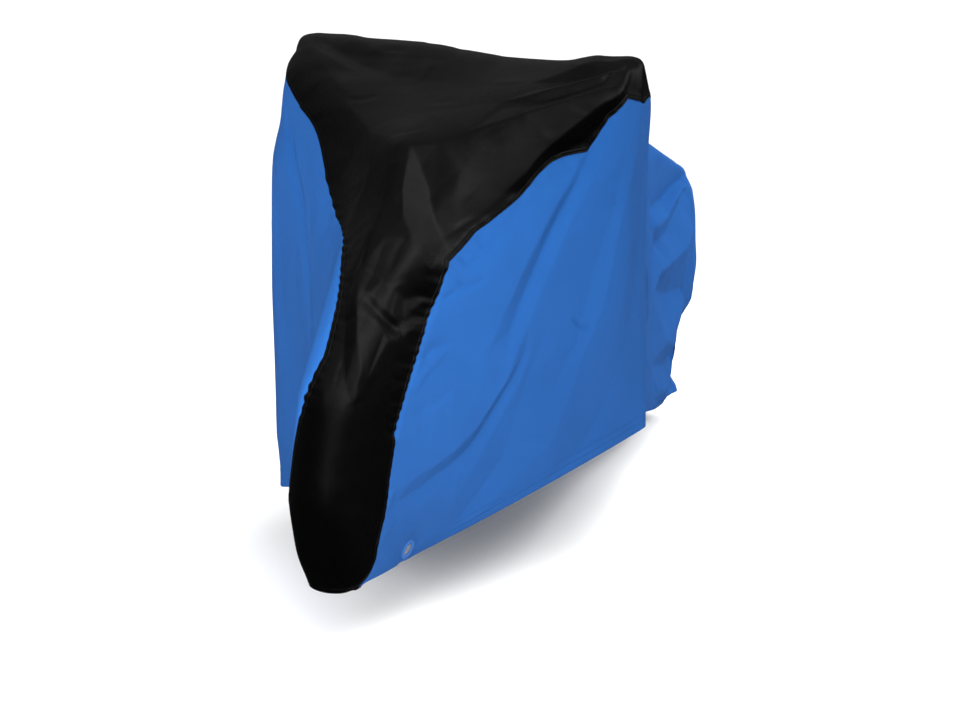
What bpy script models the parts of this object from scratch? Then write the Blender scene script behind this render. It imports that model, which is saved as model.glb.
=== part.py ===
"""Fitted bicycle cover, as it hangs over a parked bicycle.

The cloth is one draped face with two directions. "Along" runs from the nose hem at the front wheel, up over
the handlebar and the saddle, and down to the tail hem. "Across" runs from the right hem (-1) over the ridge (0)
to the left hem (+1). A table of sections gives the face, a table of folds creases it, and a table of seams cuts
it into the pieces a maker would sew: a black centre panel and two blue side panels. Each panel is one cut of
cloth on the real cover. Here it is modelled in lengths, one behind the other, so that each length bends little
and its collision shape can follow it. The front length of a side panel is the corner with the lock eyelet.

Metres, +X forward, +Y left, +Z up. The origin is under the cloth, at the middle of the handlebar, which is
where the bicycle holds the cover up.
"""
import math
from collections import namedtuple

import bpy
import numpy as np
from mathutils import Matrix, Vector

# ---- driving sizes --------------------------------------------------------------------------------------------

THICKNESS = 0.002            # cloth with its coating, and the hem folded into it
GAP = 0.0003                 # between pieces that are sewn or pressed together
BAR_TURN = math.radians(10)  # the front wheel and the bar are turned this far to the left
STEERING = -0.17             # forward place of the upright line that they turn about
ORIGIN_FORWARD = -0.410      # the bar's middle, measured from the front axle
ORIGIN_UP = 1.0280           # underside of the cloth there, measured from the ground
SPREAD_ALONG = 0.026         # how softly the cloth turns from one section to the next
SPREAD_ACROSS = 0.022        # the same across, as a share of half the width
ALONG_STEPS = 301            # fineness of the worked-out face
ACROSS_STEPS = 241

EYELET_ALONG = 0.237         # place of the lock eyelets on the cloth
EYELET_ACROSS = 0.925
CLOTH_HOLE = 0.0140          # radius of the hole cut in the cloth
EYELET_BORE = 0.0120         # radius of the clear hole in the eyelet
EYELET_FLANGE = 0.0200       # outer radius of its two flanges
FLANGE_THICKNESS = 0.0012
FLANGE_ROUNDING = 0.0006
FLAT_ROUND_EYELET = 0.0220   # the cloth lies flat out to this radius
EYELET_SIDES = 20

SIDE_COLUMNS = 13            # quads from seam to hem
CENTER_COLUMNS = 12          # quads from seam to seam
BLOCK_ROWS = (5, 9)          # the rows and the first column that the eyelet's round patch of faces takes up
BLOCK_COLUMN = 7

# ---- the draped face ------------------------------------------------------------------------------------------

# One row for each section. Points are (forward of the front axle, out from the middle, up from the ground), in
# metres, at the shares of half the width in ACROSS. "turn" is the share of the bar's turn that the section
# takes, and "slack" is how far the right side's hem hangs (lower, forward, out).
Section = namedtuple("Section", "name along turn ridge crown shoulder drop flank hem slack")
ACROSS = (0.0, 0.2, 0.4, 0.52, 0.74, 1.0)
SECTIONS = [
    Section("nose_hem", 0.00, 1.0, (0.286, 0, 0.182), (0.283, 0.022, 0.183), (0.277, 0.036, 0.185),
            (0.273, 0.041, 0.187), (0.268, 0.046, 0.189), (0.258, 0.052, 0.192), (0, -0.010, -0.016)),
    Section("wheel_low", 0.10, 1.0, (0.332, 0, 0.262), (0.325, 0.036, 0.261), (0.284, 0.056, 0.245),
            (0.262, 0.059, 0.236), (0.220, 0.060, 0.213), (0.150, 0.058, 0.172), (0, 0, -0.010)),
    Section("wheel_front", 0.24, 1.0, (0.362, 0, 0.380), (0.348, 0.045, 0.376), (0.268, 0.064, 0.336),
            (0.230, 0.066, 0.312), (0.150, 0.068, 0.252), (0.020, 0.062, 0.152), (0, 0, 0)),
    Section("wheel_high", 0.44, 1.0, (0.302, 0, 0.565), (0.280, 0.055, 0.555), (0.170, 0.080, 0.480),
            (0.122, 0.086, 0.430), (0.030, 0.098, 0.330), (-0.090, 0.136, 0.178), (0.02, 0, 0)),
    Section("wheel_top", 0.62, 1.0, (0.130, 0, 0.715), (0.110, 0.062, 0.700), (0.005, 0.112, 0.600),
            (-0.035, 0.128, 0.540), (-0.105, 0.165, 0.410), (-0.190, 0.204, 0.205), (0.04, 0.02, 0.03)),
    Section("neck", 0.76, 1.0, (0.000, 0, 0.810), (-0.025, 0.075, 0.785), (-0.115, 0.180, 0.710),
            (-0.145, 0.198, 0.640), (-0.205, 0.236, 0.480), (-0.270, 0.258, 0.228), (0.08, 0.05, 0.05)),
    Section("peak", 0.90, 1.0, (-0.098, 0, 0.917), (-0.145, 0.110, 0.900), (-0.235, 0.245, 0.900),
            (-0.255, 0.266, 0.810), (-0.285, 0.300, 0.560), (-0.325, 0.293, 0.243), (0.11, 0.08, 0.055)),
    Section("lever", 1.06, 1.0, (-0.260, 0, 0.980), (-0.275, 0.190, 0.985), (-0.332, 0.350, 0.990),
            (-0.345, 0.364, 0.890), (-0.360, 0.364, 0.600), (-0.388, 0.335, 0.262), (0.13, 0.06, 0.045)),
    Section("bar", 1.23, 1.0, (-0.415, 0, 1.042), (-0.420, 0.210, 1.040), (-0.432, 0.364, 1.068),
            (-0.450, 0.384, 0.960), (-0.460, 0.382, 0.600), (-0.460, 0.384, 0.286), (0.13, 0.03, 0.00)),
    Section("behind_bar", 1.42, 0.6, (-0.580, 0, 0.955), (-0.580, 0.130, 0.948), (-0.560, 0.270, 0.910),
            (-0.555, 0.295, 0.830), (-0.545, 0.333, 0.580), (-0.545, 0.330, 0.270), (0.10, 0, 0)),
    Section("saddle_nose", 1.60, 0.0, (-0.740, 0, 0.925), (-0.740, 0.060, 0.915), (-0.725, 0.150, 0.840),
            (-0.722, 0.170, 0.760), (-0.720, 0.220, 0.540), (-0.720, 0.220, 0.215), (0.05, 0, 0)),
    Section("saddle_rear", 1.82, 0.0, (-0.940, 0, 0.925), (-0.940, 0.075, 0.908), (-0.930, 0.108, 0.800),
            (-0.925, 0.115, 0.720), (-0.920, 0.135, 0.500), (-0.920, 0.135, 0.155), (0.02, 0, 0)),
    Section("rear_slope", 2.02, 0.0, (-1.050, 0, 0.770), (-1.045, 0.050, 0.755), (-1.040, 0.075, 0.660),
            (-1.045, 0.082, 0.590), (-1.050, 0.095, 0.400), (-1.060, 0.100, 0.112), (0, 0, 0)),
    Section("fender", 2.18, 0.0, (-1.200, 0, 0.692), (-1.195, 0.040, 0.680), (-1.190, 0.058, 0.600),
            (-1.180, 0.064, 0.530), (-1.170, 0.075, 0.360), (-1.160, 0.080, 0.095), (0, 0, 0)),
    Section("tail_top", 2.40, 0.0, (-1.395, 0, 0.618), (-1.390, 0.028, 0.606), (-1.360, 0.048, 0.545),
            (-1.340, 0.052, 0.480), (-1.310, 0.060, 0.330), (-1.250, 0.068, 0.085), (0, 0, 0)),
    Section("tail_back", 2.60, 0.0, (-1.428, 0, 0.420), (-1.418, 0.028, 0.400), (-1.388, 0.046, 0.350),
            (-1.373, 0.050, 0.310), (-1.343, 0.056, 0.220), (-1.283, 0.060, 0.080), (0, 0, 0)),
    Section("tail_low", 2.82, 0.0, (-1.365, 0, 0.200), (-1.360, 0.026, 0.195), (-1.345, 0.040, 0.175),
            (-1.335, 0.043, 0.160), (-1.322, 0.048, 0.130), (-1.300, 0.052, 0.077), (0, 0, 0)),
    Section("tail_hem", 2.96, 0.0, (-1.335, 0, 0.066), (-1.333, 0.014, 0.066), (-1.329, 0.026, 0.068),
            (-1.326, 0.030, 0.069), (-1.322, 0.036, 0.070), (-1.315, 0.043, 0.073), (0, 0, 0)),
]
SLACK_SHARES = {"drop": 0.1, "flank": 0.4, "hem": 1.0}   # how much of the slack each point takes

# One row for each main fold: its line through three (along, across) places, how wide each slope is and how far
# it stands out of the face (a trough is negative), in metres.
Fold = namedtuple("Fold", "name start middle end width height")
FOLDS = [
    Fold("bar_swell_right", (1.22, -0.02), (1.22, -0.20), (1.21, -0.38), 0.070, 0.018),
    Fold("bar_sag_left", (1.22, 0.04), (1.22, 0.14), (1.22, 0.26), 0.060, -0.008),
    Fold("top_edge_left", (0.90, 0.03), (0.96, 0.20), (1.09, 0.37), 0.030, 0.012),
    Fold("top_edge_right", (0.90, -0.03), (0.98, -0.19), (1.20, -0.37), 0.030, 0.012),
    Fold("stem_ridge", (0.91, 0.03), (0.80, 0.08), (0.68, 0.25), 0.030, 0.016),
    Fold("stem_hollow_left", (0.90, 0.13), (0.85, 0.17), (0.75, 0.26), 0.026, -0.014),
    Fold("stem_hollow_right", (0.93, -0.11), (0.85, -0.15), (0.76, -0.24), 0.036, -0.018),
    Fold("lever_groove_left", (0.83, 0.36), (0.93, 0.41), (1.08, 0.39), 0.024, -0.020),
    Fold("lever_groove_right", (0.83, -0.30), (0.93, -0.35), (1.08, -0.35), 0.026, -0.014),
    Fold("lever_ridge_left", (1.06, 0.44), (0.88, 0.55), (0.62, 0.70), 0.030, 0.016),
    Fold("lever_trough_left", (0.97, 0.48), (0.80, 0.545), (0.60, 0.64), 0.030, -0.014),
    Fold("lever_ridge_right", (1.06, -0.46), (0.88, -0.56), (0.64, -0.72), 0.032, 0.012),
    Fold("lever_trough_right", (0.96, -0.50), (0.80, -0.58), (0.58, -0.66), 0.034, -0.012),
    Fold("fan_trough_left", (0.80, 0.67), (0.58, 0.77), (0.30, 0.66), 0.026, -0.009),
    Fold("fan_ridge_left", (0.74, 0.73), (0.56, 0.81), (0.30, 0.80), 0.028, 0.009),
    Fold("hang_ridge_left", (1.13, 0.52), (1.00, 0.74), (0.62, 0.95), 0.055, 0.016),
    Fold("hang_ridge_right", (1.13, -0.52), (1.02, -0.74), (0.70, -0.95), 0.055, 0.014),
    Fold("behind_bar_trough_left", (1.32, 0.42), (1.40, 0.66), (1.42, 0.96), 0.060, -0.020),
    Fold("behind_bar_trough_right", (1.32, -0.42), (1.40, -0.66), (1.42, -0.96), 0.060, -0.018),
    Fold("saddle_ridge_left", (1.80, 0.34), (1.72, 0.62), (1.66, 0.95), 0.050, 0.014),
    Fold("saddle_ridge_right", (1.80, -0.34), (1.72, -0.62), (1.66, -0.95), 0.050, 0.014),
]
SEAM_STEP = 0.005            # stretch of cloth over which a seam's direction is taken
FOLD_POINTS = 13             # places worked out on each fold's line
FOLD_ENDS = 0.3              # share of a fold's line over which each end fades

# One row for each place on the seams: where the centre panel's edges lie across, left and right.
Seam = namedtuple("Seam", "along left right")
SEAMS = [
    Seam(0.00, 1.000, 1.000),
    Seam(0.03, 0.880, 0.900),
    Seam(0.10, 0.770, 0.700),
    Seam(0.17, 0.680, 0.450),
    Seam(0.26, 0.625, 0.205),
    Seam(0.34, 0.535, 0.170),
    Seam(0.42, 0.470, 0.110),
    Seam(0.50, 0.410, 0.045),
    Seam(0.58, 0.365, 0.075),
    Seam(0.66, 0.330, 0.150),
    Seam(0.72, 0.298, 0.200),
    Seam(0.78, 0.318, 0.290),
    Seam(0.84, 0.385, 0.345),
    Seam(0.92, 0.440, 0.378),
    Seam(0.97, 0.470, 0.400),
    Seam(1.03, 0.435, 0.405),
    Seam(1.10, 0.435, 0.415),
    Seam(1.17, 0.490, 0.440),
    Seam(1.25, 0.500, 0.450),
    Seam(1.42, 0.450, 0.440),
    Seam(1.62, 0.390, 0.390),
    Seam(1.80, 0.330, 0.330),
    Seam(1.90, 0.230, 0.230),
    Seam(1.96, 0.100, 0.100),
    Seam(1.985, 0.018, 0.018),
    Seam(1.995, 0.000, 0.000),
    Seam(2.96, 0.000, 0.000),
]

# Rows of quads along the cloth: one entry for each stretch, with its end and how many rows it takes.
Stretch = namedtuple("Stretch", "end rows")
FIRST_ROW = 0.020            # the side panels' front points are cut off here
CORNER_STRETCHES = [Stretch(0.187, 5), Stretch(0.287, 4), Stretch(0.360, 2)]
SIDE_STRETCHES = [Stretch(1.300, 21), Stretch(1.900, 8), Stretch(1.985, 3), Stretch(1.995, 1),
                  Stretch(2.960, 10)]
TONGUE_END = 1.985           # the centre panel's point behind the saddle

# Where each panel's lengths end, at the nearest row.
Length = namedtuple("Length", "word end")
CENTER_LENGTHS = [Length("front", 0.72), Length("bar", 1.30), Length("saddle", TONGUE_END)]
SIDE_LENGTHS = [Length("front", 1.30), Length("saddle", 1.995), Length("tail", 2.96)]

BLUE = (0.028, 0.124, 0.427, 1.0)
BLACK = (0.010, 0.010, 0.011, 1.0)
LIGHT_BLUE = (0.110, 0.260, 0.640, 1.0)


def smoothed(values, spread):
    """Average along the first axis with a bell of this many steps; the ends keep their place."""
    reach = int(3 * spread) + 1
    bell = np.exp(-0.5 * (np.arange(-reach, reach + 1) / spread) ** 2)
    bell /= bell.sum()
    before = 2 * values[0] - values[reach:0:-1]
    after = 2 * values[-1] - values[-2:-reach - 2:-1]
    padded = np.concatenate([before, values, after])
    return sum(share * padded[step:step + len(values)] for step, share in enumerate(bell))


def section_points(section):
    """The eleven points of one section, right hem to left hem, turned with the bar."""
    columns = ("ridge", "crown", "shoulder", "drop", "flank", "hem")
    left = np.array([getattr(section, column) for column in columns], dtype=float)
    right = left * (1, -1, 1)
    lower, forward, out = section.slack
    shares = np.array([SLACK_SHARES.get(column, 0.0) for column in columns])
    right += shares[:, None] * np.array([forward, -out, -lower])
    points = np.concatenate([right[:0:-1], left])
    turn = BAR_TURN * section.turn
    forward = points[:, 0] - STEERING
    aside = points[:, 1].copy()
    points[:, 0] = STEERING + math.cos(turn) * forward - math.sin(turn) * aside
    points[:, 1] = math.sin(turn) * forward + math.cos(turn) * aside
    return points - (ORIGIN_FORWARD, 0, ORIGIN_UP)


def line_profile(distance, width):
    """Height share of a fold at a distance from its line: a ridge with a soft crest."""
    crest = 0.35 * width
    return np.exp(-(np.sqrt(distance ** 2 + crest ** 2) - crest) / (0.6 * width))


class Drape:
    """The outer face of the cloth, worked out on a fine grid and read between its points."""

    def __init__(self):
        self.along = np.linspace(0, SECTIONS[-1].along, ALONG_STEPS)
        self.across = np.linspace(-1, 1, ACROSS_STEPS)
        sections = np.array([section_points(section) for section in SECTIONS])
        places = [section.along for section in SECTIONS]
        shares = np.concatenate([-np.array(ACROSS[:0:-1]), ACROSS])
        by_along = np.array([[np.interp(self.along, places, sections[:, point, axis])
                              for axis in range(3)] for point in range(len(shares))])
        face = np.array([[np.interp(self.across, shares, by_along[:, axis, step]) for axis in range(3)]
                         for step in range(ALONG_STEPS)]).transpose(0, 2, 1)
        face = smoothed(face, SPREAD_ALONG / (self.along[1] - self.along[0]))
        face = smoothed(face.swapaxes(0, 1), SPREAD_ACROSS / (self.across[1] - self.across[0]))
        self.face = face.swapaxes(0, 1)
        self.normal = self.worked_out_normals()
        self.face = self.face + self.fold_height()[..., None] * self.normal
        self.normal = self.worked_out_normals()

    def worked_out_normals(self):
        """Unit normals of the face, pointing away from the bicycle."""
        normal = np.cross(np.gradient(self.face, axis=1), np.gradient(self.face, axis=0))
        return normal / np.linalg.norm(normal, axis=2, keepdims=True)

    def read(self, field, along, across):
        """Field values at places along and across, between the four nearest grid points."""
        row = np.clip(np.asarray(along) / self.along[-1] * (ALONG_STEPS - 1), 0, ALONG_STEPS - 1.001)
        column = np.clip((np.asarray(across) + 1) / 2 * (ACROSS_STEPS - 1), 0, ACROSS_STEPS - 1.001)
        i, j = row.astype(int), column.astype(int)
        p, q = (row - i)[..., None], (column - j)[..., None]
        return ((field[i, j] * (1 - q) + field[i, j + 1] * q) * (1 - p)
                + (field[i + 1, j] * (1 - q) + field[i + 1, j + 1] * q) * p)

    def fold_height(self):
        """How far the folds of the table stand out of the face, all added up."""
        total = np.zeros(self.face.shape[:2])
        for fold in FOLDS:
            share = np.linspace(0, 1, FOLD_POINTS)[:, None]
            start, middle, end = (np.array(place) for place in (fold.start, fold.middle, fold.end))
            bow = 2 * middle - (start + end) / 2
            line = (1 - share) ** 2 * start + 2 * share * (1 - share) * bow + share ** 2 * end
            places = self.read(self.face, line[:, 0], line[:, 1])
            fade = np.clip(np.minimum(share, 1 - share)[:, 0] / FOLD_ENDS, 0, 1)
            best = np.full(total.shape, np.inf)
            strength = np.zeros(total.shape)
            for step in range(FOLD_POINTS - 1):
                run = places[step + 1] - places[step]
                part = np.clip((self.face - places[step]) @ run / (run @ run), 0, 1)
                distance = np.linalg.norm(self.face - places[step] - part[..., None] * run, axis=2)
                closer = distance < best
                best = np.where(closer, distance, best)
                strength = np.where(closer, fade[step] + part * (fade[step + 1] - fade[step]), strength)
            total += fold.height * strength * line_profile(best, fold.width)
        return total


def stretch_rows(start, stretches):
    """Places of the rows from a start through these stretches."""
    rows = [start]
    for stretch in stretches:
        rows.extend(np.linspace(rows[-1], stretch.end, stretch.rows + 1)[1:])
    return np.array(rows)


def seam_places(along, side):
    """Where the seam lies across at these rows: left for side +1, right for side -1."""
    table = [seam.left if side > 0 else seam.right for seam in SEAMS]
    return side * np.interp(along, [seam.along for seam in SEAMS], table)


def cloth_points(drape, along, start, end, columns):
    """Face points and normals of a grid between two lines across, with this many cells in each row.

    The third result says which diagonal of each cell lies closer to the face.
    """
    share = np.linspace(0, 1, columns + 1)[None, :]
    across = start[:, None] * (1 - share) + end[:, None] * share
    rows = np.repeat(along[:, None], columns + 1, axis=1)
    face = drape.read(drape.face, rows, across)
    normal = unit(drape.read(drape.normal, rows, across))
    middle = drape.read(drape.face, mid_cells(rows), mid_cells(across))
    falling = np.linalg.norm((face[:-1, :-1] + face[1:, 1:]) / 2 - middle, axis=2)
    rising = np.linalg.norm((face[:-1, 1:] + face[1:, :-1]) / 2 - middle, axis=2)
    return face, normal, falling < rising


def mid_cells(values):
    """Average of the four corners of each cell of a grid."""
    return (values[:-1, :-1] + values[:-1, 1:] + values[1:, :-1] + values[1:, 1:]) / 4


def unit(vectors):
    """The same vectors, one unit long."""
    return vectors / np.linalg.norm(vectors, axis=-1, keepdims=True)


def seam_runs(drape, along, side):
    """Direction in which the seam runs at these rows, the same for the pieces on both sides of it."""
    ahead = np.minimum(along + SEAM_STEP, SECTIONS[-1].along)
    behind = np.maximum(along - SEAM_STEP, 0)
    return (drape.read(drape.face, ahead, seam_places(ahead, side))
            - drape.read(drape.face, behind, seam_places(behind, side)))


def half_gap(edge, inside, normals, runs):
    """Steps that move an edge half a gap towards its own piece, square to its run along the cloth."""
    aside = unit(np.cross(normals, runs))
    return aside * np.sign(np.sum(aside * (inside - edge), axis=1))[:, None] * GAP / 2


def clear_seam(drape, face, normal, along, side, column):
    """Draw the first or the last column of a grid back from the seam that it lies on."""
    inner = 1 if column == 0 else -2
    face[:, column] += half_gap(face[:, column], face[:, inner], normal[:, column],
                                seam_runs(drape, along, side))


def clear_row(face, normal, row):
    """Draw the first or the last row of a grid back from the piece beyond it."""
    inner = 1 if row == 0 else -2
    face[row] += half_gap(face[row], face[inner], normal[row], np.gradient(face[row], axis=0))


def grid_faces(falls, left_out=()):
    """Triangles of a grid of points, two for each cell on its better diagonal, without the cells left out."""
    columns = falls.shape[1] + 1
    faces = []
    for (i, j), falling in np.ndenumerate(falls):
        if (i, j) in left_out:
            continue
        a = i * columns + j
        b, c, d = a + 1, a + columns + 1, a + columns
        faces += [(a, b, c), (a, c, d)] if falling else [(a, b, d), (b, c, d)]
    return faces


def add_cloth(name, points, normals, faces, material, collection):
    """Closed sheet: the outer face, the same face one thickness inside it, and walls round every edge."""
    count = len(points)
    inner = points - THICKNESS * normals
    borders = {}
    for face in faces:
        for first, second in zip(face, face[1:] + face[:1]):
            if (second, first) in borders:
                del borders[(second, first)]
            else:
                borders[(first, second)] = True
    walls = []
    for first, second in borders:
        if first < second:
            walls += [(second, first, second + count), (first, first + count, second + count)]
        else:
            walls += [(second, first, first + count), (second, first + count, second + count)]
    lining = [tuple(corner + count for corner in reversed(face)) for face in faces]
    mesh = bpy.data.meshes.new(name)
    mesh.from_pydata(np.concatenate([points, inner]).tolist(), [], faces + lining + walls)
    mesh.materials.append(material)
    mesh.update()
    cloth = bpy.data.objects.new(name, mesh)
    collection.objects.link(cloth)
    return cloth


def row_lengths(rows, lengths):
    """The rows of each length, with the row where two lengths meet in both."""
    start = 0
    for length in lengths:
        end = int(np.argmin(np.abs(rows - length.end)))
        yield length, rows[start:end + 1]
        start = end


def add_center_panel(drape, material, collection):
    """Black panel from the nose hem over the bar and the saddle to its point behind the saddle."""
    rows = stretch_rows(FIRST_ROW, CORNER_STRETCHES + SIDE_STRETCHES)
    rows = np.concatenate([[0.0], rows[rows <= TONGUE_END + GAP]])
    for length, part in row_lengths(rows, CENTER_LENGTHS):
        edges = seam_places(part, -1), seam_places(part, +1)
        face, normal, falls = cloth_points(drape, part, *edges, CENTER_COLUMNS)
        if part[0] > rows[0]:
            clear_row(face, normal, 0)
        if part[-1] < rows[-1]:
            clear_row(face, normal, -1)
        clear_seam(drape, face, normal, part, -1, 0)
        clear_seam(drape, face, normal, part, +1, -1)
        add_cloth("center_panel_" + length.word, face.reshape(-1, 3), normal.reshape(-1, 3),
                  grid_faces(falls), material, collection)


def side_grid(drape, side, rows):
    """Face points and normals of a side panel at these rows, seam to hem."""
    return cloth_points(drape, rows, seam_places(rows, side), np.full(len(rows), float(side)), SIDE_COLUMNS)


def side_faces(faces, side):
    """Faces turned so that they point outwards on either side."""
    return [face[::-1] for face in faces] if side < 0 else faces


def add_side_panel(drape, side, name, material, collection):
    """Blue panel from the eyelet's corner piece back to the tail hem."""
    corner_rows = stretch_rows(FIRST_ROW, CORNER_STRETCHES)
    rows = stretch_rows(corner_rows[-1], SIDE_STRETCHES)
    for length, part in row_lengths(rows, SIDE_LENGTHS):
        face, normal, falls = side_grid(drape, side, part)
        clear_row(face, normal, 0)
        if part[-1] < rows[-1]:
            clear_row(face, normal, -1)
        clear_seam(drape, face, normal, part, side, 0)
        add_cloth(name + "_" + length.word, face.reshape(-1, 3), normal.reshape(-1, 3),
                  side_faces(grid_faces(falls), side), material, collection)


class EyeletPlace:
    """Where one lock eyelet sits: its middle on the cloth and two directions in the flat cloth round it."""

    def __init__(self, drape, side):
        self.middle = drape.read(drape.face, EYELET_ALONG, side * EYELET_ACROSS)
        self.normal = unit(drape.read(drape.normal, EYELET_ALONG, side * EYELET_ACROSS))
        self.level = unit(np.cross((0, 0, 1), self.normal))
        self.rise = np.cross(self.normal, self.level)

    def circle(self, radius, angles):
        """Corners of an even polygon round a circle of this radius, in the cloth's outer face."""
        corner = radius / math.cos(math.pi / len(angles))
        return self.middle + corner * (np.cos(angles)[:, None] * self.level
                                       + np.sin(angles)[:, None] * self.rise)

    def even_angles(self, rim):
        """Evenly spaced angles, as many as the rim's points, that face those points best."""
        away = rim - self.middle
        seen = np.arctan2(away @ self.rise, away @ self.level)
        way = np.sign(np.sum(np.sin(np.roll(seen, -1) - seen)))
        even = way * np.arange(len(rim)) * math.tau / len(rim)
        return even + np.angle(np.sum(np.exp(1j * (seen - even))))


def add_eyelet_corner(drape, side, name, material, collection):
    """Front corner of a side panel, flat round the eyelet, with the hole that the eyelet is pressed into."""
    rows = stretch_rows(FIRST_ROW, CORNER_STRETCHES)
    face, normal, falls = side_grid(drape, side, rows)
    clear_row(face, normal, -1)
    clear_seam(drape, face, normal, rows, side, 0)
    width = SIDE_COLUMNS + 1
    low, high = BLOCK_ROWS
    block = {(i, j) for i in range(low, high) for j in range(BLOCK_COLUMN, SIDE_COLUMNS)}
    faces = grid_faces(falls, block)
    rim = [(low, j) for j in range(BLOCK_COLUMN, SIDE_COLUMNS)]
    rim += [(i, SIDE_COLUMNS) for i in range(low, high)]
    rim += [(high, j) for j in range(SIDE_COLUMNS, BLOCK_COLUMN, -1)]
    rim += [(i, BLOCK_COLUMN) for i in range(high, low, -1)]
    place = EyeletPlace(drape, side)
    around = place.even_angles(np.array([face[cell] for cell in rim]))
    points = [face.reshape(-1, 3), place.circle(FLAT_ROUND_EYELET, around), place.circle(CLOTH_HOLE, around)]
    normals = [normal.reshape(-1, 3), np.repeat(place.normal[None], 2 * len(rim), axis=0)]
    outer = [i * width + j for i, j in rim]
    middle = [face.shape[0] * width + step for step in range(len(rim))]
    inner = [corner + len(rim) for corner in middle]
    for loop, next_loop in ((outer, middle), (middle, inner)):
        for step in range(len(rim)):
            after = (step + 1) % len(rim)
            faces.append((loop[step], loop[after], next_loop[after], next_loop[step]))
    used = sorted({corner for face_corners in faces for corner in face_corners})
    renumbered = {corner: number for number, corner in enumerate(used)}
    faces = [tuple(renumbered[corner] for corner in face_corners) for face_corners in faces]
    points = np.concatenate(points)[used]
    normals = np.concatenate(normals)[used]
    add_cloth(name, points, normals, side_faces(faces, side), material, collection)


def add_eyelet(drape, side, name, material, collection):
    """Pressed eyelet: a turned channel whose two flanges grip the cloth round its hole."""
    place = EyeletPlace(drape, side)
    inside = THICKNESS / 2 + GAP
    outside = inside + FLANGE_THICKNESS
    barrel = CLOTH_HOLE - GAP
    upper = [(barrel, inside), (EYELET_FLANGE, inside), (EYELET_FLANGE, outside - FLANGE_ROUNDING),
             (EYELET_FLANGE - FLANGE_ROUNDING, outside), (EYELET_BORE + FLANGE_ROUNDING, outside),
             (EYELET_BORE, outside - FLANGE_ROUNDING)]
    profile = [(radius, -height) for radius, height in upper] + upper[::-1]
    mesh = bpy.data.meshes.new(name)
    edges = [(step, (step + 1) % len(profile)) for step in range(len(profile))]
    mesh.from_pydata([(radius, 0, height) for radius, height in profile], edges, [])
    mesh.materials.append(material)
    eyelet = bpy.data.objects.new(name, mesh)
    collection.objects.link(eyelet)
    screw = eyelet.modifiers.new("turned", "SCREW")
    screw.steps = EYELET_SIDES
    screw.render_steps = EYELET_SIDES
    screw.use_merge_vertices = True
    screw.merge_threshold = 0.00001
    eyelet.matrix_world = Matrix((
        (place.level[0], place.rise[0], place.normal[0], 0),
        (place.level[1], place.rise[1], place.normal[1], 0),
        (place.level[2], place.rise[2], place.normal[2], 0),
        (0, 0, 0, 1)))
    eyelet.location = Vector(place.middle - place.normal * THICKNESS / 2)
    return eyelet


def new_material(name, colour, roughness):
    """Plain Principled finish."""
    material = bpy.data.materials.new(name)
    material.use_nodes = True
    shader = material.node_tree.nodes["Principled BSDF"]
    shader.inputs["Base Color"].default_value = colour
    shader.inputs["Roughness"].default_value = roughness
    shader.inputs["Metallic"].default_value = 0.0
    return material


def main():
    """Build every piece of the cover."""
    for leftover in list(bpy.data.objects):
        bpy.data.objects.remove(leftover)
    collection = bpy.data.collections.new("bicycle_cover")
    bpy.context.scene.collection.children.link(collection)
    blue_cloth = new_material("blue_cloth", BLUE, 0.55)
    black_cloth = new_material("black_cloth", BLACK, 0.45)
    eyelet_plastic = new_material("eyelet_plastic", LIGHT_BLUE, 0.40)
    drape = Drape()
    add_center_panel(drape, black_cloth, collection)
    for side, word in ((+1, "left"), (-1, "right")):
        add_side_panel(drape, side, "side_panel_" + word, blue_cloth, collection)
        add_eyelet_corner(drape, side, "eyelet_corner_" + word, blue_cloth, collection)
        add_eyelet(drape, side, "eyelet_" + word, eyelet_plastic, collection)


main()
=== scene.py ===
"""Looks of the fitted bicycle cover: blue side panels and a black centre panel, seamed, hemmed and stitched.

The cloth hangs on one draped face that is a function of two directions. "Along" runs from the nose hem at
the front wheel over the bar and the saddle to the tail hem. "Across" runs from the right hem (-1) over the
ridge (0) to the left hem (+1). The panels are cut out of that face, so that they meet on their seams. The
tables below say where the face runs and where it is folded; the name of a table's row only says what it is.
"""
import logging
import math
from dataclasses import dataclass, field
from enum import Enum
from typing import NamedTuple, Sequence

import bpy
import numpy as np
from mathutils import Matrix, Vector
from mathutils.geometry import delaunay_2d_cdt


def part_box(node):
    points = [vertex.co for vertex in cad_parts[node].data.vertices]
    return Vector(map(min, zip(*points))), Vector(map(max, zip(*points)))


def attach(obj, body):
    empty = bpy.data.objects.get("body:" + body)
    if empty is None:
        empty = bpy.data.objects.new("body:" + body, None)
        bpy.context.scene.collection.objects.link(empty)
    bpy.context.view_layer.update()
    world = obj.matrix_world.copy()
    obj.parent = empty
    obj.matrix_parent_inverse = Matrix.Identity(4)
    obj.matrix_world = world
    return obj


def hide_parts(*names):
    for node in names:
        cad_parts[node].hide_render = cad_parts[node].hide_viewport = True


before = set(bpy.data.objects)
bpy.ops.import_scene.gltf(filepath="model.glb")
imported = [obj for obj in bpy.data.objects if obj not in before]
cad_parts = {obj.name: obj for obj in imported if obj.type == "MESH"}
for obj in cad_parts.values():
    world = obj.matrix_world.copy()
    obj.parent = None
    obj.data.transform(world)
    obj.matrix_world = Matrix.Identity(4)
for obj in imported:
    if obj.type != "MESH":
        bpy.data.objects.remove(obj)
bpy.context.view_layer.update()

log = logging.getLogger("bicycle_cover")

Point = tuple[float, float, float]
Place = tuple[float, float]

# ---- the face's tables ---------------------------------------------------------------------------


class Side(Enum):
    """Which side of the cover a piece lies on; the value is the sign of its places across."""

    LEFT = 1
    RIGHT = -1

    @property
    def word(self) -> str:
        """Lower-case word for object names."""
        return self.name.lower()


class Towards(Enum):
    """Which way puckers run from a seam: up the black panel to the ridge, or down the blue one to the hem."""

    RIDGE = 1
    HEM = -1


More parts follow.
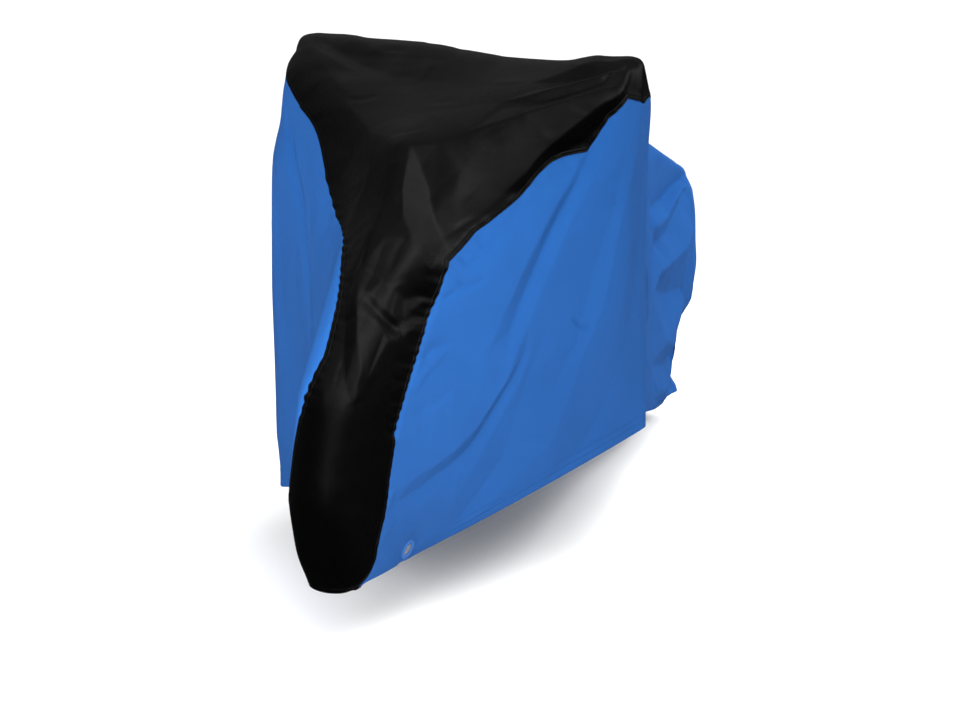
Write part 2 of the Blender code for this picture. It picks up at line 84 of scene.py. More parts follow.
class Section(NamedTuple):
    """One section: metres forward of the front axle, out from the middle and up from the ground.

    The points lie at the shares of half the width in ACROSS. "turn" is the share of the bar's turn that the
    section takes, and "slack" is how far the right side's hem hangs (lower, forward, out).
    """

    name: str
    along: float
    turn: float
    ridge: Point
    crown: Point
    shoulder: Point
    drop: Point
    flank: Point
    hem: Point
    slack: Point


class Crease(NamedTuple):
    """A main fold through three (along, across) places, with its slopes' width and its height, in metres.

    A trough has a height below zero.
    """

    name: str
    start: Place
    middle: Place
    end: Place
    width: float
    height: float

    def mirrored(self) -> "Crease":
        """The same fold on the other side."""
        start, middle, end = ((along, -across) for along, across in (self.start, self.middle, self.end))
        return self._replace(name=self.name + "_right", start=start, middle=middle, end=end)


class Fold(NamedTuple):
    """A sharp fold along a path of (along, across) places, with its slopes' widths and its height in metres.

    Seen from outside and walking the path, "left" and "right" are how wide its two slopes are. "crest" is how
    far the fold is rounded at its line, and "ends" the share of the path over which each end fades.
    """

    name: str
    path: tuple[Place, ...]
    left: float
    right: float
    height: float
    crest: float = 0.002
    ends: float = 0.3

    def mirrored(self) -> "Fold":
        """The same fold on the other side, where the walk has its left slope on its right."""
        path = tuple((along, -across) for along, across in self.path)
        return self._replace(name=self.name + "_right", path=path, left=self.right, right=self.left)


class PullLine(NamedTuple):
    """A fold line of the stretched cloth: places (along, across), each with its height in millimetres.

    Between the lines the cloth lies in flat facets.
    """

    name: str
    places: tuple[Point, ...]


class Net(NamedTuple):
    """Pull lines with a rim round them, where the cloth keeps its smooth form.

    The lines are written for the left side. "share" scales their heights and "shift" moves them along.
    """

    name: str
    lines: tuple[PullLine, ...]
    side: Side = Side.LEFT
    share: float = 1.0
    shift: float = 0.0


class Gather(NamedTuple):
    """A run of small puckers that start on one side's seam, between the places "first" and "last" along.

    Each pucker reaches "reach" metres across and leans "lean" metres along.
    """

    name: str
    side: Side
    towards: Towards
    first: float
    last: float
    count: int
    reach: float
    lean: float
    width: float
    depth: float

    def mirrored(self) -> "Gather":
        """The same puckers on the other side's seam."""
        return self._replace(name=self.name + "_right", side=Side.RIGHT)


class Crumple(NamedTuple):
    """Faint creases strewn over a patch of the cloth.

    "heading" is their main direction (0 runs along, a quarter turn runs across) and "scatter" how much it
    varies.
    """

    name: str
    seed: int
    count: int
    along: Place
    across: Place
    length: float
    heading: float
    scatter: float
    width: float
    height: float


class Seam(NamedTuple):
    """Where the centre panel's edges lie across, left and right, at one place along."""

    along: float
    left: float
    right: float


def both_sides(pieces: Sequence[Crease | Fold | Gather]) -> list:
    """Each of these pieces of the left side, and its mirror image on the right side."""
    return [twin for piece in pieces for twin in (piece, piece.mirrored())]


# places across of a section's ridge, crown, shoulder, drop, flank and hem
ACROSS = (0.0, 0.2, 0.4, 0.52, 0.74, 1.0)
SECTIONS = (
    Section("nose_hem", 0.00, 1.0, (0.286, 0, 0.182), (0.283, 0.022, 0.183), (0.277, 0.036, 0.185),
            (0.273, 0.041, 0.187), (0.268, 0.046, 0.189), (0.258, 0.052, 0.192), (0, -0.010, -0.016)),
    Section("wheel_low", 0.10, 1.0, (0.332, 0, 0.262), (0.325, 0.036, 0.261), (0.284, 0.056, 0.245),
            (0.262, 0.059, 0.236), (0.220, 0.060, 0.213), (0.150, 0.058, 0.172), (0, 0, -0.010)),
    Section("wheel_front", 0.24, 1.0, (0.362, 0, 0.380), (0.348, 0.045, 0.376), (0.268, 0.064, 0.336),
            (0.230, 0.066, 0.312), (0.150, 0.068, 0.252), (0.020, 0.062, 0.152), (0, 0, 0)),
    Section("wheel_high", 0.44, 1.0, (0.302, 0, 0.565), (0.280, 0.055, 0.555), (0.170, 0.080, 0.480),
            (0.122, 0.086, 0.430), (0.030, 0.098, 0.330), (-0.090, 0.136, 0.178), (0.02, 0, 0)),
    Section("wheel_top", 0.62, 1.0, (0.130, 0, 0.715), (0.110, 0.062, 0.700), (0.005, 0.112, 0.600),
            (-0.035, 0.128, 0.540), (-0.105, 0.165, 0.410), (-0.190, 0.204, 0.205), (0.04, 0.02, 0.03)),
    Section("neck", 0.76, 1.0, (0.000, 0, 0.810), (-0.025, 0.075, 0.785), (-0.115, 0.180, 0.710),
            (-0.145, 0.198, 0.640), (-0.205, 0.236, 0.480), (-0.270, 0.258, 0.228), (0.08, 0.05, 0.05)),
    Section("peak", 0.90, 1.0, (-0.098, 0, 0.917), (-0.145, 0.110, 0.900), (-0.235, 0.245, 0.900),
            (-0.255, 0.266, 0.810), (-0.285, 0.300, 0.560), (-0.325, 0.293, 0.243), (0.11, 0.08, 0.055)),
    Section("lever", 1.06, 1.0, (-0.260, 0, 0.980), (-0.275, 0.190, 0.985), (-0.332, 0.350, 0.990),
            (-0.345, 0.364, 0.890), (-0.360, 0.364, 0.600), (-0.388, 0.335, 0.262), (0.13, 0.06, 0.045)),
    Section("bar", 1.23, 1.0, (-0.415, 0, 1.042), (-0.420, 0.210, 1.040), (-0.432, 0.364, 1.068),
            (-0.450, 0.384, 0.960), (-0.460, 0.382, 0.600), (-0.460, 0.384, 0.286), (0.13, 0.03, 0.00)),
    Section("behind_bar", 1.42, 0.6, (-0.580, 0, 0.955), (-0.580, 0.130, 0.948), (-0.560, 0.270, 0.910),
            (-0.555, 0.295, 0.830), (-0.545, 0.333, 0.580), (-0.545, 0.330, 0.270), (0.10, 0, 0)),
    Section("saddle_nose", 1.60, 0.0, (-0.740, 0, 0.925), (-0.740, 0.060, 0.915), (-0.725, 0.150, 0.840),
            (-0.722, 0.170, 0.760), (-0.720, 0.220, 0.540), (-0.720, 0.220, 0.215), (0.05, 0, 0)),
    Section("saddle_rear", 1.82, 0.0, (-0.940, 0, 0.925), (-0.940, 0.075, 0.908), (-0.930, 0.108, 0.800),
            (-0.925, 0.115, 0.720), (-0.920, 0.135, 0.500), (-0.920, 0.135, 0.155), (0.02, 0, 0)),
    Section("rear_slope", 2.02, 0.0, (-1.050, 0, 0.770), (-1.045, 0.050, 0.755), (-1.040, 0.075, 0.660),
            (-1.045, 0.082, 0.590), (-1.050, 0.095, 0.400), (-1.060, 0.100, 0.112), (0, 0, 0)),
    Section("fender", 2.18, 0.0, (-1.200, 0, 0.692), (-1.195, 0.040, 0.680), (-1.190, 0.058, 0.600),
            (-1.180, 0.064, 0.530), (-1.170, 0.075, 0.360), (-1.160, 0.080, 0.095), (0, 0, 0)),
    Section("tail_top", 2.40, 0.0, (-1.395, 0, 0.618), (-1.390, 0.028, 0.606), (-1.360, 0.048, 0.545),
            (-1.340, 0.052, 0.480), (-1.310, 0.060, 0.330), (-1.250, 0.068, 0.085), (0, 0, 0)),
    Section("tail_back", 2.60, 0.0, (-1.428, 0, 0.420), (-1.418, 0.028, 0.400), (-1.388, 0.046, 0.350),
            (-1.373, 0.050, 0.310), (-1.343, 0.056, 0.220), (-1.283, 0.060, 0.080), (0, 0, 0)),
    Section("tail_low", 2.82, 0.0, (-1.365, 0, 0.200), (-1.360, 0.026, 0.195), (-1.345, 0.040, 0.175),
            (-1.335, 0.043, 0.160), (-1.322, 0.048, 0.130), (-1.300, 0.052, 0.077), (0, 0, 0)),
    Section("tail_hem", 2.96, 0.0, (-1.335, 0, 0.066), (-1.333, 0.014, 0.066), (-1.329, 0.026, 0.068),
            (-1.326, 0.030, 0.069), (-1.322, 0.036, 0.070), (-1.315, 0.043, 0.073), (0, 0, 0)),
)
# how much of a section's slack these points of its right side take
SLACK_SHARES = {"drop": 0.1, "flank": 0.4, "hem": 1.0}

MAIN_CREASES = (
    Crease("bar_swell_right", (1.22, 0.08), (1.22, -0.16), (1.21, -0.38), 0.070, 0.018),
    Crease("bar_sag_left", (1.22, 0.06), (1.22, 0.17), (1.22, 0.29), 0.060, -0.005),
    Crease("behind_bar_trough_left", (1.32, 0.42), (1.40, 0.66), (1.42, 0.96), 0.060, -0.020),
    Crease("behind_bar_trough_right", (1.32, -0.42), (1.40, -0.66), (1.42, -0.96), 0.060, -0.018),
    *both_sides([Crease("saddle_ridge", (1.80, 0.34), (1.72, 0.62), (1.66, 0.95), 0.050, 0.014)]),
)

FRONT_LINES = (
    PullLine("rim", ((1.28, -0.37, 0), (1.30, 0.00, 0), (1.28, 0.37, 0), (1.21, 0.46, 0), (1.10, 0.50, 0),
                     (0.98, 0.54, 0), (0.92, 0.51, 0), (0.86, 0.46, 0), (0.80, 0.39, 0), (0.735, 0.325, 0),
                     (0.68, 0.345, 0), (0.60, 0.37, 0), (0.50, 0.39, 0), (0.43, 0.37, 0), (0.42, 0.22, 0),
                     (0.42, 0.06, 0), (0.47, -0.04, 0), (0.55, -0.09, 0), (0.62, -0.12, 0), (0.68, -0.18, 0),
                     (0.74, -0.25, 0), (0.80, -0.32, 0), (0.86, -0.37, 0), (0.94, -0.40, 0),
                     (1.06, -0.42, 0), (1.18, -0.42, 0), (1.28, -0.37, 0))),
    PullLine("right_edge", ((1.20, -0.36, 2), (1.15, -0.315, 7), (1.115, -0.29, 9), (1.046, -0.22, 10),
                          (0.987, -0.20, 10), (0.927, -0.14, 10), (0.898, -0.03, 10), (0.898, 0.02, 11))),
    PullLine("left_edge", ((0.898, 0.02, 11), (0.908, 0.105, 9), (0.947, 0.16, 11), (0.977, 0.205, 12),
                           (1.016, 0.26, 10), (1.056, 0.32, 6), (1.09, 0.375, 1))),
    PullLine("spindle_left", ((0.898, 0.02, 11), (0.858, 0.035, 12), (0.809, 0.05, 13), (0.760, 0.09, 13),
                              (0.72, 0.17, 11), (0.691, 0.26, 7), (0.668, 0.325, 0))),
    PullLine("spindle_right", ((0.898, 0.02, 11), (0.858, 0.08, 1), (0.809, 0.16, -6), (0.770, 0.22, -7),
                               (0.745, 0.265, -5), (0.728, 0.300, -1))),
    PullLine("wedge", ((0.908, 0.105, 9), (0.908, 0.190, 7), (0.863, 0.205, 5), (0.811, 0.235, 3),
                       (0.765, 0.280, 1))),
    PullLine("grey_side", ((0.977, 0.205, 12), (0.908, 0.277, 7), (0.867, 0.308, 5), (0.839, 0.337, 3))),
    PullLine("groove_top", ((0.839, 0.337, 3), (0.869, 0.369, 3), (0.927, 0.386, 2), (0.997, 0.380, 1),
                            (1.036, 0.380, 1), (1.09, 0.375, 1))),
    PullLine("groove_seam", ((0.822, 0.368, 0), (0.845, 0.388, -5), (0.868, 0.406, -11), (0.92, 0.43, -15),
                             (0.97, 0.445, -14), (1.03, 0.426, -12), (1.09, 0.424, -5))),
    PullLine("patch_left", ((0.927, -0.14, 10), (0.875, -0.215, -1), (0.825, -0.285, -4))),
    PullLine("patch_right", ((0.898, -0.06, 10), (0.849, -0.11, 9), (0.779, -0.14, 9), (0.740, -0.185, 5))),
    PullLine("middle_left", ((0.870, -0.015, 9), (0.80, -0.02, 8), (0.72, -0.02, 7), (0.66, -0.03, 3))),
    PullLine("low_top", ((0.72, -0.02, 7), (0.712, 0.06, 9), (0.72, 0.17, 11))),
    PullLine("low_hollow", ((0.655, -0.010, -2), (0.646, 0.070, -8), (0.641, 0.128, -9), (0.626, 0.250, -8),
                            (0.655, 0.310, -2))),
    PullLine("low_shine", ((0.631, 0.006, 2), (0.582, 0.053, 7), (0.533, 0.109, 9), (0.493, 0.173, 7),
                           (0.478, 0.225, 4), (0.500, 0.280, 2), (0.535, 0.310, 1))),
    PullLine("low_foot", ((0.605, -0.025, -2), (0.555, 0.020, -3), (0.505, 0.075, -3), (0.462, 0.140, -2))),
    PullLine("low_groove", ((0.553, 0.225, 1), (0.593, 0.278, -4), (0.622, 0.334, -3))),
    PullLine("low_groove_lip", ((0.547, 0.245, 4), (0.578, 0.298, 4), (0.606, 0.345, 2))),
    PullLine("streak_a_crest", ((1.115, 0.18, 1), (1.170, 0.27, 8), (1.195, 0.36, 4))),
    PullLine("streak_a_foot", ((1.085, 0.20, 0), (1.128, 0.28, -7), (1.155, 0.350, -4))),
    PullLine("streak_b_crest", ((1.040, 0.15, 1), (1.090, 0.25, 6), (1.130, 0.335, 4))),
    PullLine("streak_b_foot", ((1.020, 0.17, 1), (1.055, 0.25, -4), (1.105, 0.345, -3))),
    PullLine("top_sag", ((1.00, 0.00, 1), (1.08, 0.00, -2), (1.17, 0.00, -1))),
)
SIDE_LINES = (
    PullLine("rim", ((1.19, 0.490, 0), (1.10, 0.440, 0), (1.035, 0.438, 0), (0.97, 0.470, 0),
                     (0.92, 0.442, 0), (0.84, 0.386, 0), (0.78, 0.322, 0), (0.72, 0.302, 0),
                     (0.66, 0.332, 0), (0.58, 0.367, 0), (0.50, 0.412, 0), (0.42, 0.472, 0),
                     (0.34, 0.537, 0), (0.26, 0.627, 0), (0.16, 0.72, 0), (0.10, 0.84, 0),
                     (0.10, 1.00, 0), (0.36, 1.00, 0), (0.70, 1.00, 0), (1.00, 1.00, 0),
                     (1.28, 1.00, 0), (1.32, 0.75, 0), (1.28, 0.52, 0), (1.19, 0.490, 0))),
    PullLine("fore_edge", ((0.954, 0.473, 3), (0.914, 0.497, 7), (0.878, 0.501, 9), (0.838, 0.500, 11),
                           (0.805, 0.502, 12), (0.770, 0.508, 13), (0.725, 0.535, 13), (0.670, 0.575, 13))),
    PullLine("trough", ((1.000, 0.462, -1), (0.965, 0.490, -3), (0.936, 0.511, -3), (0.894, 0.530, -3),
                        (0.849, 0.536, -2), (0.810, 0.545, 0), (0.767, 0.560, 3), (0.725, 0.590, 7),
                        (0.690, 0.635, 11))),
    PullLine("lever_ridge", ((1.056, 0.450, 2), (1.008, 0.480, 6), (0.967, 0.520, 8), (0.928, 0.548, 9),
                             (0.878, 0.570, 10), (0.840, 0.581, 11), (0.800, 0.594, 12), (0.760, 0.618, 13),
                             (0.722, 0.645, 14), (0.681, 0.688, 14), (0.631, 0.712, 14), (0.580, 0.730, 14),
                             (0.514, 0.729, 13), (0.452, 0.708, 11), (0.384, 0.658, 8), (0.326, 0.585, 4))),
    PullLine("fan_line", ((0.740, 0.664, 7), (0.690, 0.705, 4), (0.640, 0.733, 2), (0.591, 0.755, 1),
                          (0.531, 0.772, 1), (0.468, 0.764, 1), (0.383, 0.728, 1), (0.306, 0.646, 1))),
    PullLine("fan_crest", ((0.755, 0.680, 8), (0.700, 0.732, 7), (0.641, 0.768, 6), (0.581, 0.803, 6),
                           (0.514, 0.839, 6), (0.448, 0.868, 5), (0.372, 0.915, 2))),
    PullLine("fan_foot", ((0.805, 0.668, 9), (0.749, 0.707, 5), (0.695, 0.772, 2), (0.650, 0.824, 1),
                          (0.608, 0.866, 0), (0.536, 0.900, -1), (0.473, 0.928, -1), (0.40, 0.955, 0))),
    PullLine("low_line", ((0.455, 0.805, 5), (0.346, 0.783, 5), (0.246, 0.690, 3))),
    PullLine("hang_foot", ((1.090, 0.495, 1), (1.064, 0.510, 2), (1.045, 0.548, 1), (1.020, 0.591, 1),
                           (0.985, 0.632, 1), (0.945, 0.674, 1), (0.917, 0.710, 1), (0.869, 0.762, 2),
                           (0.812, 0.795, 2), (0.731, 0.835, 3))),
    PullLine("hang_crest", ((1.130, 0.503, 3), (1.105, 0.533, 4), (1.080, 0.560, 5), (1.048, 0.600, 5),
                            (1.022, 0.644, 6), (0.997, 0.692, 6), (0.965, 0.740, 6), (0.915, 0.776, 7),
                            (0.869, 0.814, 7), (0.818, 0.857, 7), (0.750, 0.908, 6), (0.647, 0.935, 5),
                            (0.571, 0.950, 4), (0.491, 0.969, 2))),
    PullLine("hang_back", ((1.175, 0.540, -2), (1.170, 0.620, -5), (1.140, 0.720, -7), (1.090, 0.820, -7),
                           (1.010, 0.910, -6), (0.900, 0.960, -3))),
)
TAIL_LINES = (
    PullLine("rim", ((1.98, 0.10, 0), (1.94, 0.40, 0), (1.94, 0.80, 0), (1.96, 1.00, 0), (2.30, 1.00, 0),
                     (2.60, 1.00, 0), (2.66, 0.60, 0), (2.62, 0.20, 0), (2.45, 0.04, 0), (2.20, 0.03, 0),
                     (1.98, 0.10, 0))),
    PullLine("dark_crest", ((2.02, 0.30, 5), (2.12, 0.21, 6), (2.233, 0.15, 5), (2.35, 0.13, 2))),
    PullLine("dark_foot", ((2.37, 0.20, -3), (2.330, 0.268, -7), (2.183, 0.420, -9), (2.063, 0.497, -7))),
    PullLine("bright_crest", ((2.35, 0.30, 2), (2.27, 0.375, 3), (2.16, 0.495, 3), (2.05, 0.560, 2))),
    PullLine("bright_streak", ((2.33, 0.332, -2), (2.289, 0.420, -3), (2.187, 0.540, -3),
                               (2.049, 0.610, -3))),
    PullLine("vee", ((2.06, 0.680, 4), (2.085, 0.668, 6), (2.183, 0.633, 7), (2.341, 0.576, 7),
                     (2.42, 0.49, 4))),
    PullLine("vee_foot", ((2.04, 0.745, -5), (2.109, 0.727, -7), (2.25, 0.735, -8), (2.438, 0.720, -6))),
    PullLine("notch_crest", ((2.46, 0.850, 3), (2.35, 0.860, 6), (2.262, 0.865, 7), (2.150, 0.850, 4))),
    PullLine("notch_foot", ((2.42, 0.895, -1), (2.284, 0.905, -2), (2.15, 0.905, -3), (1.995, 0.900, -3))),
    PullLine("low_crest", ((2.42, 0.940, 4), (2.29, 0.955, 5), (2.15, 0.965, 5), (2.03, 0.955, 3))),
)
NETS = (
    Net("front", FRONT_LINES),
    Net("side_left", SIDE_LINES),
    Net("side_right", SIDE_LINES, Side.RIGHT, share=0.7, shift=0.012),
    Net("tail_left", TAIL_LINES, share=2.3),
    Net("tail_right", TAIL_LINES, Side.RIGHT, share=1.3, shift=0.030),
)

FOLDS = (
    # the top between the grips: its two edges and the folds that run into the left grip
    Fold("grip_crease", ((1.185, 0.375), (1.12, 0.398), (1.05, 0.405)), 0.010, 0.016, 0.006, 0.0015),
    Fold("grip_lip", ((1.21, 0.41), (1.18, 0.435), (1.15, 0.480)), 0.008, 0.012, 0.006, 0.0015),
    Fold("left_grip_top", ((1.20, 0.28), (1.21, 0.36), (1.21, 0.43)), 0.040, 0.040, -0.009, 0.006),
    Fold("right_grip_edge", ((1.12, -0.40), (1.20, -0.43), (1.30, -0.43)), 0.030, 0.030, -0.008, 0.004),
    Fold("right_billow", ((1.07, -0.50), (1.06, -0.66), (1.03, -0.82), (0.96, -1.00)),
         0.130, 0.110, 0.014, 0.030, 0.15),
    Fold("bar_fold_right", ((1.10, -0.10), (1.15, -0.22), (1.20, -0.36)), 0.024, 0.040, -0.006),
    Fold("bar_fold_back", ((1.31, 0.10), (1.27, 0.24), (1.25, 0.38)), 0.030, 0.014, 0.007),
    Fold("bar_fold_back_right", ((1.33, -0.12), (1.28, -0.24), (1.25, -0.38)), 0.014, 0.030, 0.007),
    # the front below the stem
    Fold("throat_lower", ((0.61, 0.04), (0.585, 0.16), (0.57, 0.34)), 0.012, 0.018, -0.005),
    # puckers at the seam's corner and small dents in the left side
    Fold("pucker_one", ((0.785, 0.318), (0.760, 0.357), (0.789, 0.390)), 0.010, 0.006, -0.0035, 0.001),
    Fold("pucker_two", ((0.740, 0.305), (0.728, 0.350), (0.752, 0.366)), 0.010, 0.006, -0.0035, 0.001),
    Fold("pucker_three", ((0.705, 0.325), (0.698, 0.385), (0.735, 0.417)), 0.012, 0.006, -0.0038, 0.001),
    Fold("pucker_four", ((0.655, 0.343), (0.676, 0.360), (0.712, 0.378)), 0.010, 0.006, -0.0032, 0.001),
    Fold("pucker_five", ((0.553, 0.395), (0.592, 0.417), (0.631, 0.475)), 0.016, 0.008, -0.0035, 0.001),
    Fold("low_crease", ((0.497, 0.438), (0.547, 0.435), (0.612, 0.467)), 0.014, 0.007, 0.0020, 0.001),
    Fold("low_wave", ((0.470, 0.485), (0.523, 0.540), (0.581, 0.572)), 0.018, 0.012, -0.0018, 0.002),
    Fold("bar_pucker", ((0.870, 0.440), (0.906, 0.466), (0.946, 0.474)), 0.010, 0.007, -0.0024, 0.001),
    Fold("soft_hollow", ((0.79, 0.365), (0.825, 0.410), (0.878, 0.462)), 0.024, 0.018, -0.0030, 0.002),
    Fold("dent_upper", ((0.950, 0.560), (1.001, 0.589), (1.052, 0.602)), 0.008, 0.005, -0.0018, 0.001),
    Fold("dent_middle", ((0.858, 0.710), (0.892, 0.749), (0.936, 0.770)), 0.010, 0.005, -0.0042, 0.001),
    Fold("dent_low", ((0.668, 0.846), (0.701, 0.878), (0.744, 0.894)), 0.009, 0.005, -0.0018, 0.001),
    # behind the bar and over the saddle
    *both_sides([
        Fold("back_fan_one", ((1.30, 0.47), (1.38, 0.56), (1.50, 0.70), (1.64, 0.92)), 0.040, 0.020, 0.010),
        Fold("saddle_edge", ((1.60, 0.18), (1.70, 0.24), (1.80, 0.26), (1.90, 0.24)), 0.020, 0.034, 0.006),
        Fold("rear_sling", ((1.92, 0.30), (1.98, 0.46), (2.06, 0.58), (2.18, 0.66)), 0.024, 0.014, -0.008),
    ]),
    Fold("back_fan_left_two", ((1.32, 0.42), (1.44, 0.47), (1.58, 0.52), (1.74, 0.55)), 0.030, 0.016, 0.008),
    Fold("back_fan_left_three", ((1.42, 0.54), (1.56, 0.72), (1.78, 0.93)), 0.016, 0.030, -0.008),
    Fold("back_fan_left_four", ((1.28, 0.52), (1.32, 0.66), (1.34, 0.82), (1.36, 0.97)), 0.022, 0.040, 0.008),
    Fold("back_fan_right_two", ((1.32, -0.42), (1.44, -0.47), (1.58, -0.52), (1.76, -0.57)),
         0.016, 0.030, 0.008),
    Fold("back_fan_right_three", ((1.42, -0.56), (1.58, -0.74), (1.78, -0.90)), 0.030, 0.016, -0.008),
    Fold("back_fan_right_four", ((1.28, -0.52), (1.31, -0.68), (1.36, -0.84), (1.38, -0.97)),
         0.040, 0.022, 0.008),
    Fold("saddle_dip", ((1.36, 0.02), (1.48, 0.03), (1.60, 0.02)), 0.050, 0.050, -0.010, 0.006),
    Fold("saddle_drop_left", ((1.84, 0.28), (1.88, 0.44), (1.86, 0.66), (1.84, 0.88)), 0.020, 0.036, 0.007),
    Fold("saddle_drop_right", ((1.84, -0.28), (1.88, -0.44), (1.87, -0.66), (1.85, -0.88)),
         0.036, 0.020, 0.007),
    # the tail's left side
    Fold("tail_back_one", ((2.52, 0.20), (2.56, 0.44), (2.50, 0.62), (2.46, 0.80)), 0.020, 0.030, 0.004),
    Fold("tail_waist", ((2.42, 0.76), (2.60, 0.78), (2.78, 0.81), (2.94, 0.83)),
         0.150, 0.130, -0.031, 0.050, 0.25),
    Fold("tail_back_three", ((2.74, 0.24), (2.78, 0.50), (2.80, 0.76), (2.84, 0.96)), 0.014, 0.024, 0.005),
    # the tail's right side
    Fold("tail_right_back", ((2.54, -0.20), (2.60, -0.46), (2.56, -0.70), (2.52, -0.92)),
         0.030, 0.016, 0.007),
)

GATHERS = (
    Gather("throat_left", Side.LEFT, Towards.RIDGE, 0.42, 0.70, 17, 0.044, -0.020, 0.0055, -0.0036),
    Gather("throat_left_blue", Side.LEFT, Towards.HEM, 0.50, 0.72, 12, 0.042, 0.022, 0.0055, 0.0015),
    Gather("corner_left_blue", Side.LEFT, Towards.HEM, 0.70, 0.80, 6, 0.050, -0.006, 0.0070, 0.0026),
    Gather("throat_right", Side.RIGHT, Towards.RIDGE, 0.40, 0.80, 24, 0.030, -0.010, 0.0050, -0.0026),
    Gather("throat_right_blue", Side.RIGHT, Towards.HEM, 0.42, 0.84, 22, 0.034, 0.012, 0.0055, 0.0022),
    Gather("wheel_left", Side.LEFT, Towards.HEM, 0.12, 0.42, 14, 0.026, 0.016, 0.0060, 0.0012),
    Gather("bar_left", Side.LEFT, Towards.HEM, 0.82, 1.16, 13, 0.030, 0.010, 0.0060, 0.0014),
    *both_sides([
        Gather("saddle", Side.LEFT, Towards.HEM, 1.30, 1.94, 26, 0.040, 0.012, 0.0070, 0.0024),
        Gather("saddle_black", Side.LEFT, Towards.RIDGE, 1.30, 1.94, 24, 0.032, 0.010, 0.0070, -0.0022),
        Gather("back", Side.LEFT, Towards.HEM, 2.02, 2.90, 26, 0.024, 0.010, 0.0060, 0.0016),
    ]),
)

CRUMPLES = (
    Crumple("black_front", 11, 40, (0.30, 0.90), (-0.30, 0.34), 0.08, 0.9, 1.1, 0.010, 0.0008),
    Crumple("black_bar", 12, 46, (0.88, 1.40), (-0.40, 0.40), 0.10, 1.2, 0.9, 0.012, 0.0010),
    Crumple("black_saddle", 13, 30, (1.40, 1.95), (-0.35, 0.35), 0.10, 0.4, 1.0, 0.014, 0.0018),
    Crumple("blue_left_front", 21, 46, (0.10, 1.15), (0.45, 0.97), 0.11, -0.6, 0.7, 0.015, 0.0007),
    Crumple("blue_left_back", 22, 46, (1.15, 2.00), (0.45, 0.97), 0.14, 1.2, 0.7, 0.016, 0.0012),
    Crumple("blue_right_front", 31, 46, (0.10, 1.15), (-0.97, -0.30), 0.11, 0.6, 0.7, 0.015, 0.0008),
    Crumple("blue_right_back", 32, 46, (1.15, 2.00), (-0.97, -0.45), 0.14, -1.2, 0.7, 0.016, 0.0012),
    Crumple("tail_left", 41, 34, (2.00, 2.90), (0.10, 0.97), 0.09, 1.0, 0.9, 0.012, 0.0012),
    Crumple("tail_right", 42, 34, (2.00, 2.90), (-0.97, -0.10), 0.09, -1.0, 0.9, 0.012, 0.0012),
)

SEAMS = (
    Seam(0.00, 0.965, 1.000),
    Seam(0.03, 0.858, 0.900),
    Seam(0.10, 0.770, 0.700),
    Seam(0.17, 0.680, 0.450),
    Seam(0.26, 0.625, 0.205),
    Seam(0.34, 0.535, 0.170),
    Seam(0.42, 0.470, 0.110),
    Seam(0.50, 0.410, 0.045),
    Seam(0.58, 0.365, 0.075),
    Seam(0.66, 0.330, 0.150),
    Seam(0.72, 0.298, 0.200),
    Seam(0.78, 0.318, 0.290),
    Seam(0.84, 0.385, 0.345),
    Seam(0.92, 0.440, 0.378),
    Seam(0.97, 0.470, 0.400),
    Seam(1.03, 0.435, 0.405),
    Seam(1.10, 0.435, 0.415),
    Seam(1.17, 0.490, 0.440),
    Seam(1.25, 0.500, 0.450),
    Seam(1.42, 0.450, 0.440),
    Seam(1.62, 0.390, 0.390),
    Seam(1.80, 0.330, 0.330),
    Seam(1.90, 0.230, 0.230),
    Seam(1.96, 0.100, 0.100),
    Seam(1.985, 0.018, 0.018),
    Seam(1.995, 0.000, 0.000),
    Seam(2.96, 0.000, 0.000),
)

# ---- sizes ---------------------------------------------------------------------------------------

MILLIMETRE = 0.001
BAR_TURN = math.radians(10)         # how far the bar is turned to the left
STEERING = -0.17                    # place of the steering axis, forward of the front axle
ORIGIN = (-0.410, 0.0, 1.0280)      # the part's origin: under the cloth, over the middle of the bar
ALONG_STEPS = 1001
ACROSS_STEPS = 641
SPREAD_ALONG = 0.026                # the sections are softened by this much along, in metres,
SPREAD_ACROSS = 0.022               # by this much across, in shares of half the width,
SPREAD_FRONT = 0.060                # and by this much more across the front, which is rounder
ROUND_FRONT = (0.45, 0.75)          # where the rounder front starts to fade, and where it ends
PULL_SPREAD = 0.0024                # the edges of the pulled facets are softened by this much
HALF_GIRTH = 0.9                    # metres for one unit across, on the flat map of the pull lines
INSIDE_RIM = 1                      # the triangulation keeps only what lies inside the rim
CLOSE = 1e-6                        # corners nearer than this are one corner to the triangulation
HAIR = 1e-9                         # allowance for rounding

SEAM_LIFT = 0.0006                  # how far the black panel's edge stands over the blue one
BACK_LIFT = 0.0007                  # how far the left blue edge stands over the right one at the back
SEAM_STITCHES = (0.0025, 0.0085)    # distances of the two lines of stitches from a seam's edge
HEM_STITCHES = 0.016                # distance of the line of stitches from the long hems
END_STITCHES = 0.014                # distance of the line of stitches from the nose and tail hems


def smoothed(values: np.ndarray, spread: float) -> np.ndarray:
    """Average along the first axis with a bell; the ends keep their place.

    Args:
        values: Values to average, with the walk along the first axis.
        spread: Width of the bell, in steps.

    Returns:
        The averaged values, in the same shape.
    """
    reach = int(3 * spread) + 1
    bell = np.exp(-0.5 * (np.arange(-reach, reach + 1) / spread) ** 2)
    bell /= bell.sum()
    before = 2 * values[0] - values[reach:0:-1]
    after = 2 * values[-1] - values[-2:-reach - 2:-1]
    padded = np.concatenate([before, values, after])
    return sum(share * padded[step:step + len(values)] for step, share in enumerate(bell))


def smoothed_across(values: np.ndarray, spread: float) -> np.ndarray:
    """The same average along the second axis."""
    return smoothed(values.swapaxes(0, 1), spread).swapaxes(0, 1)


def unit(vectors: np.ndarray) -> np.ndarray:
    """The same vectors, one unit long."""
    return vectors / np.maximum(np.linalg.norm(vectors, axis=-1, keepdims=True), 1e-12)


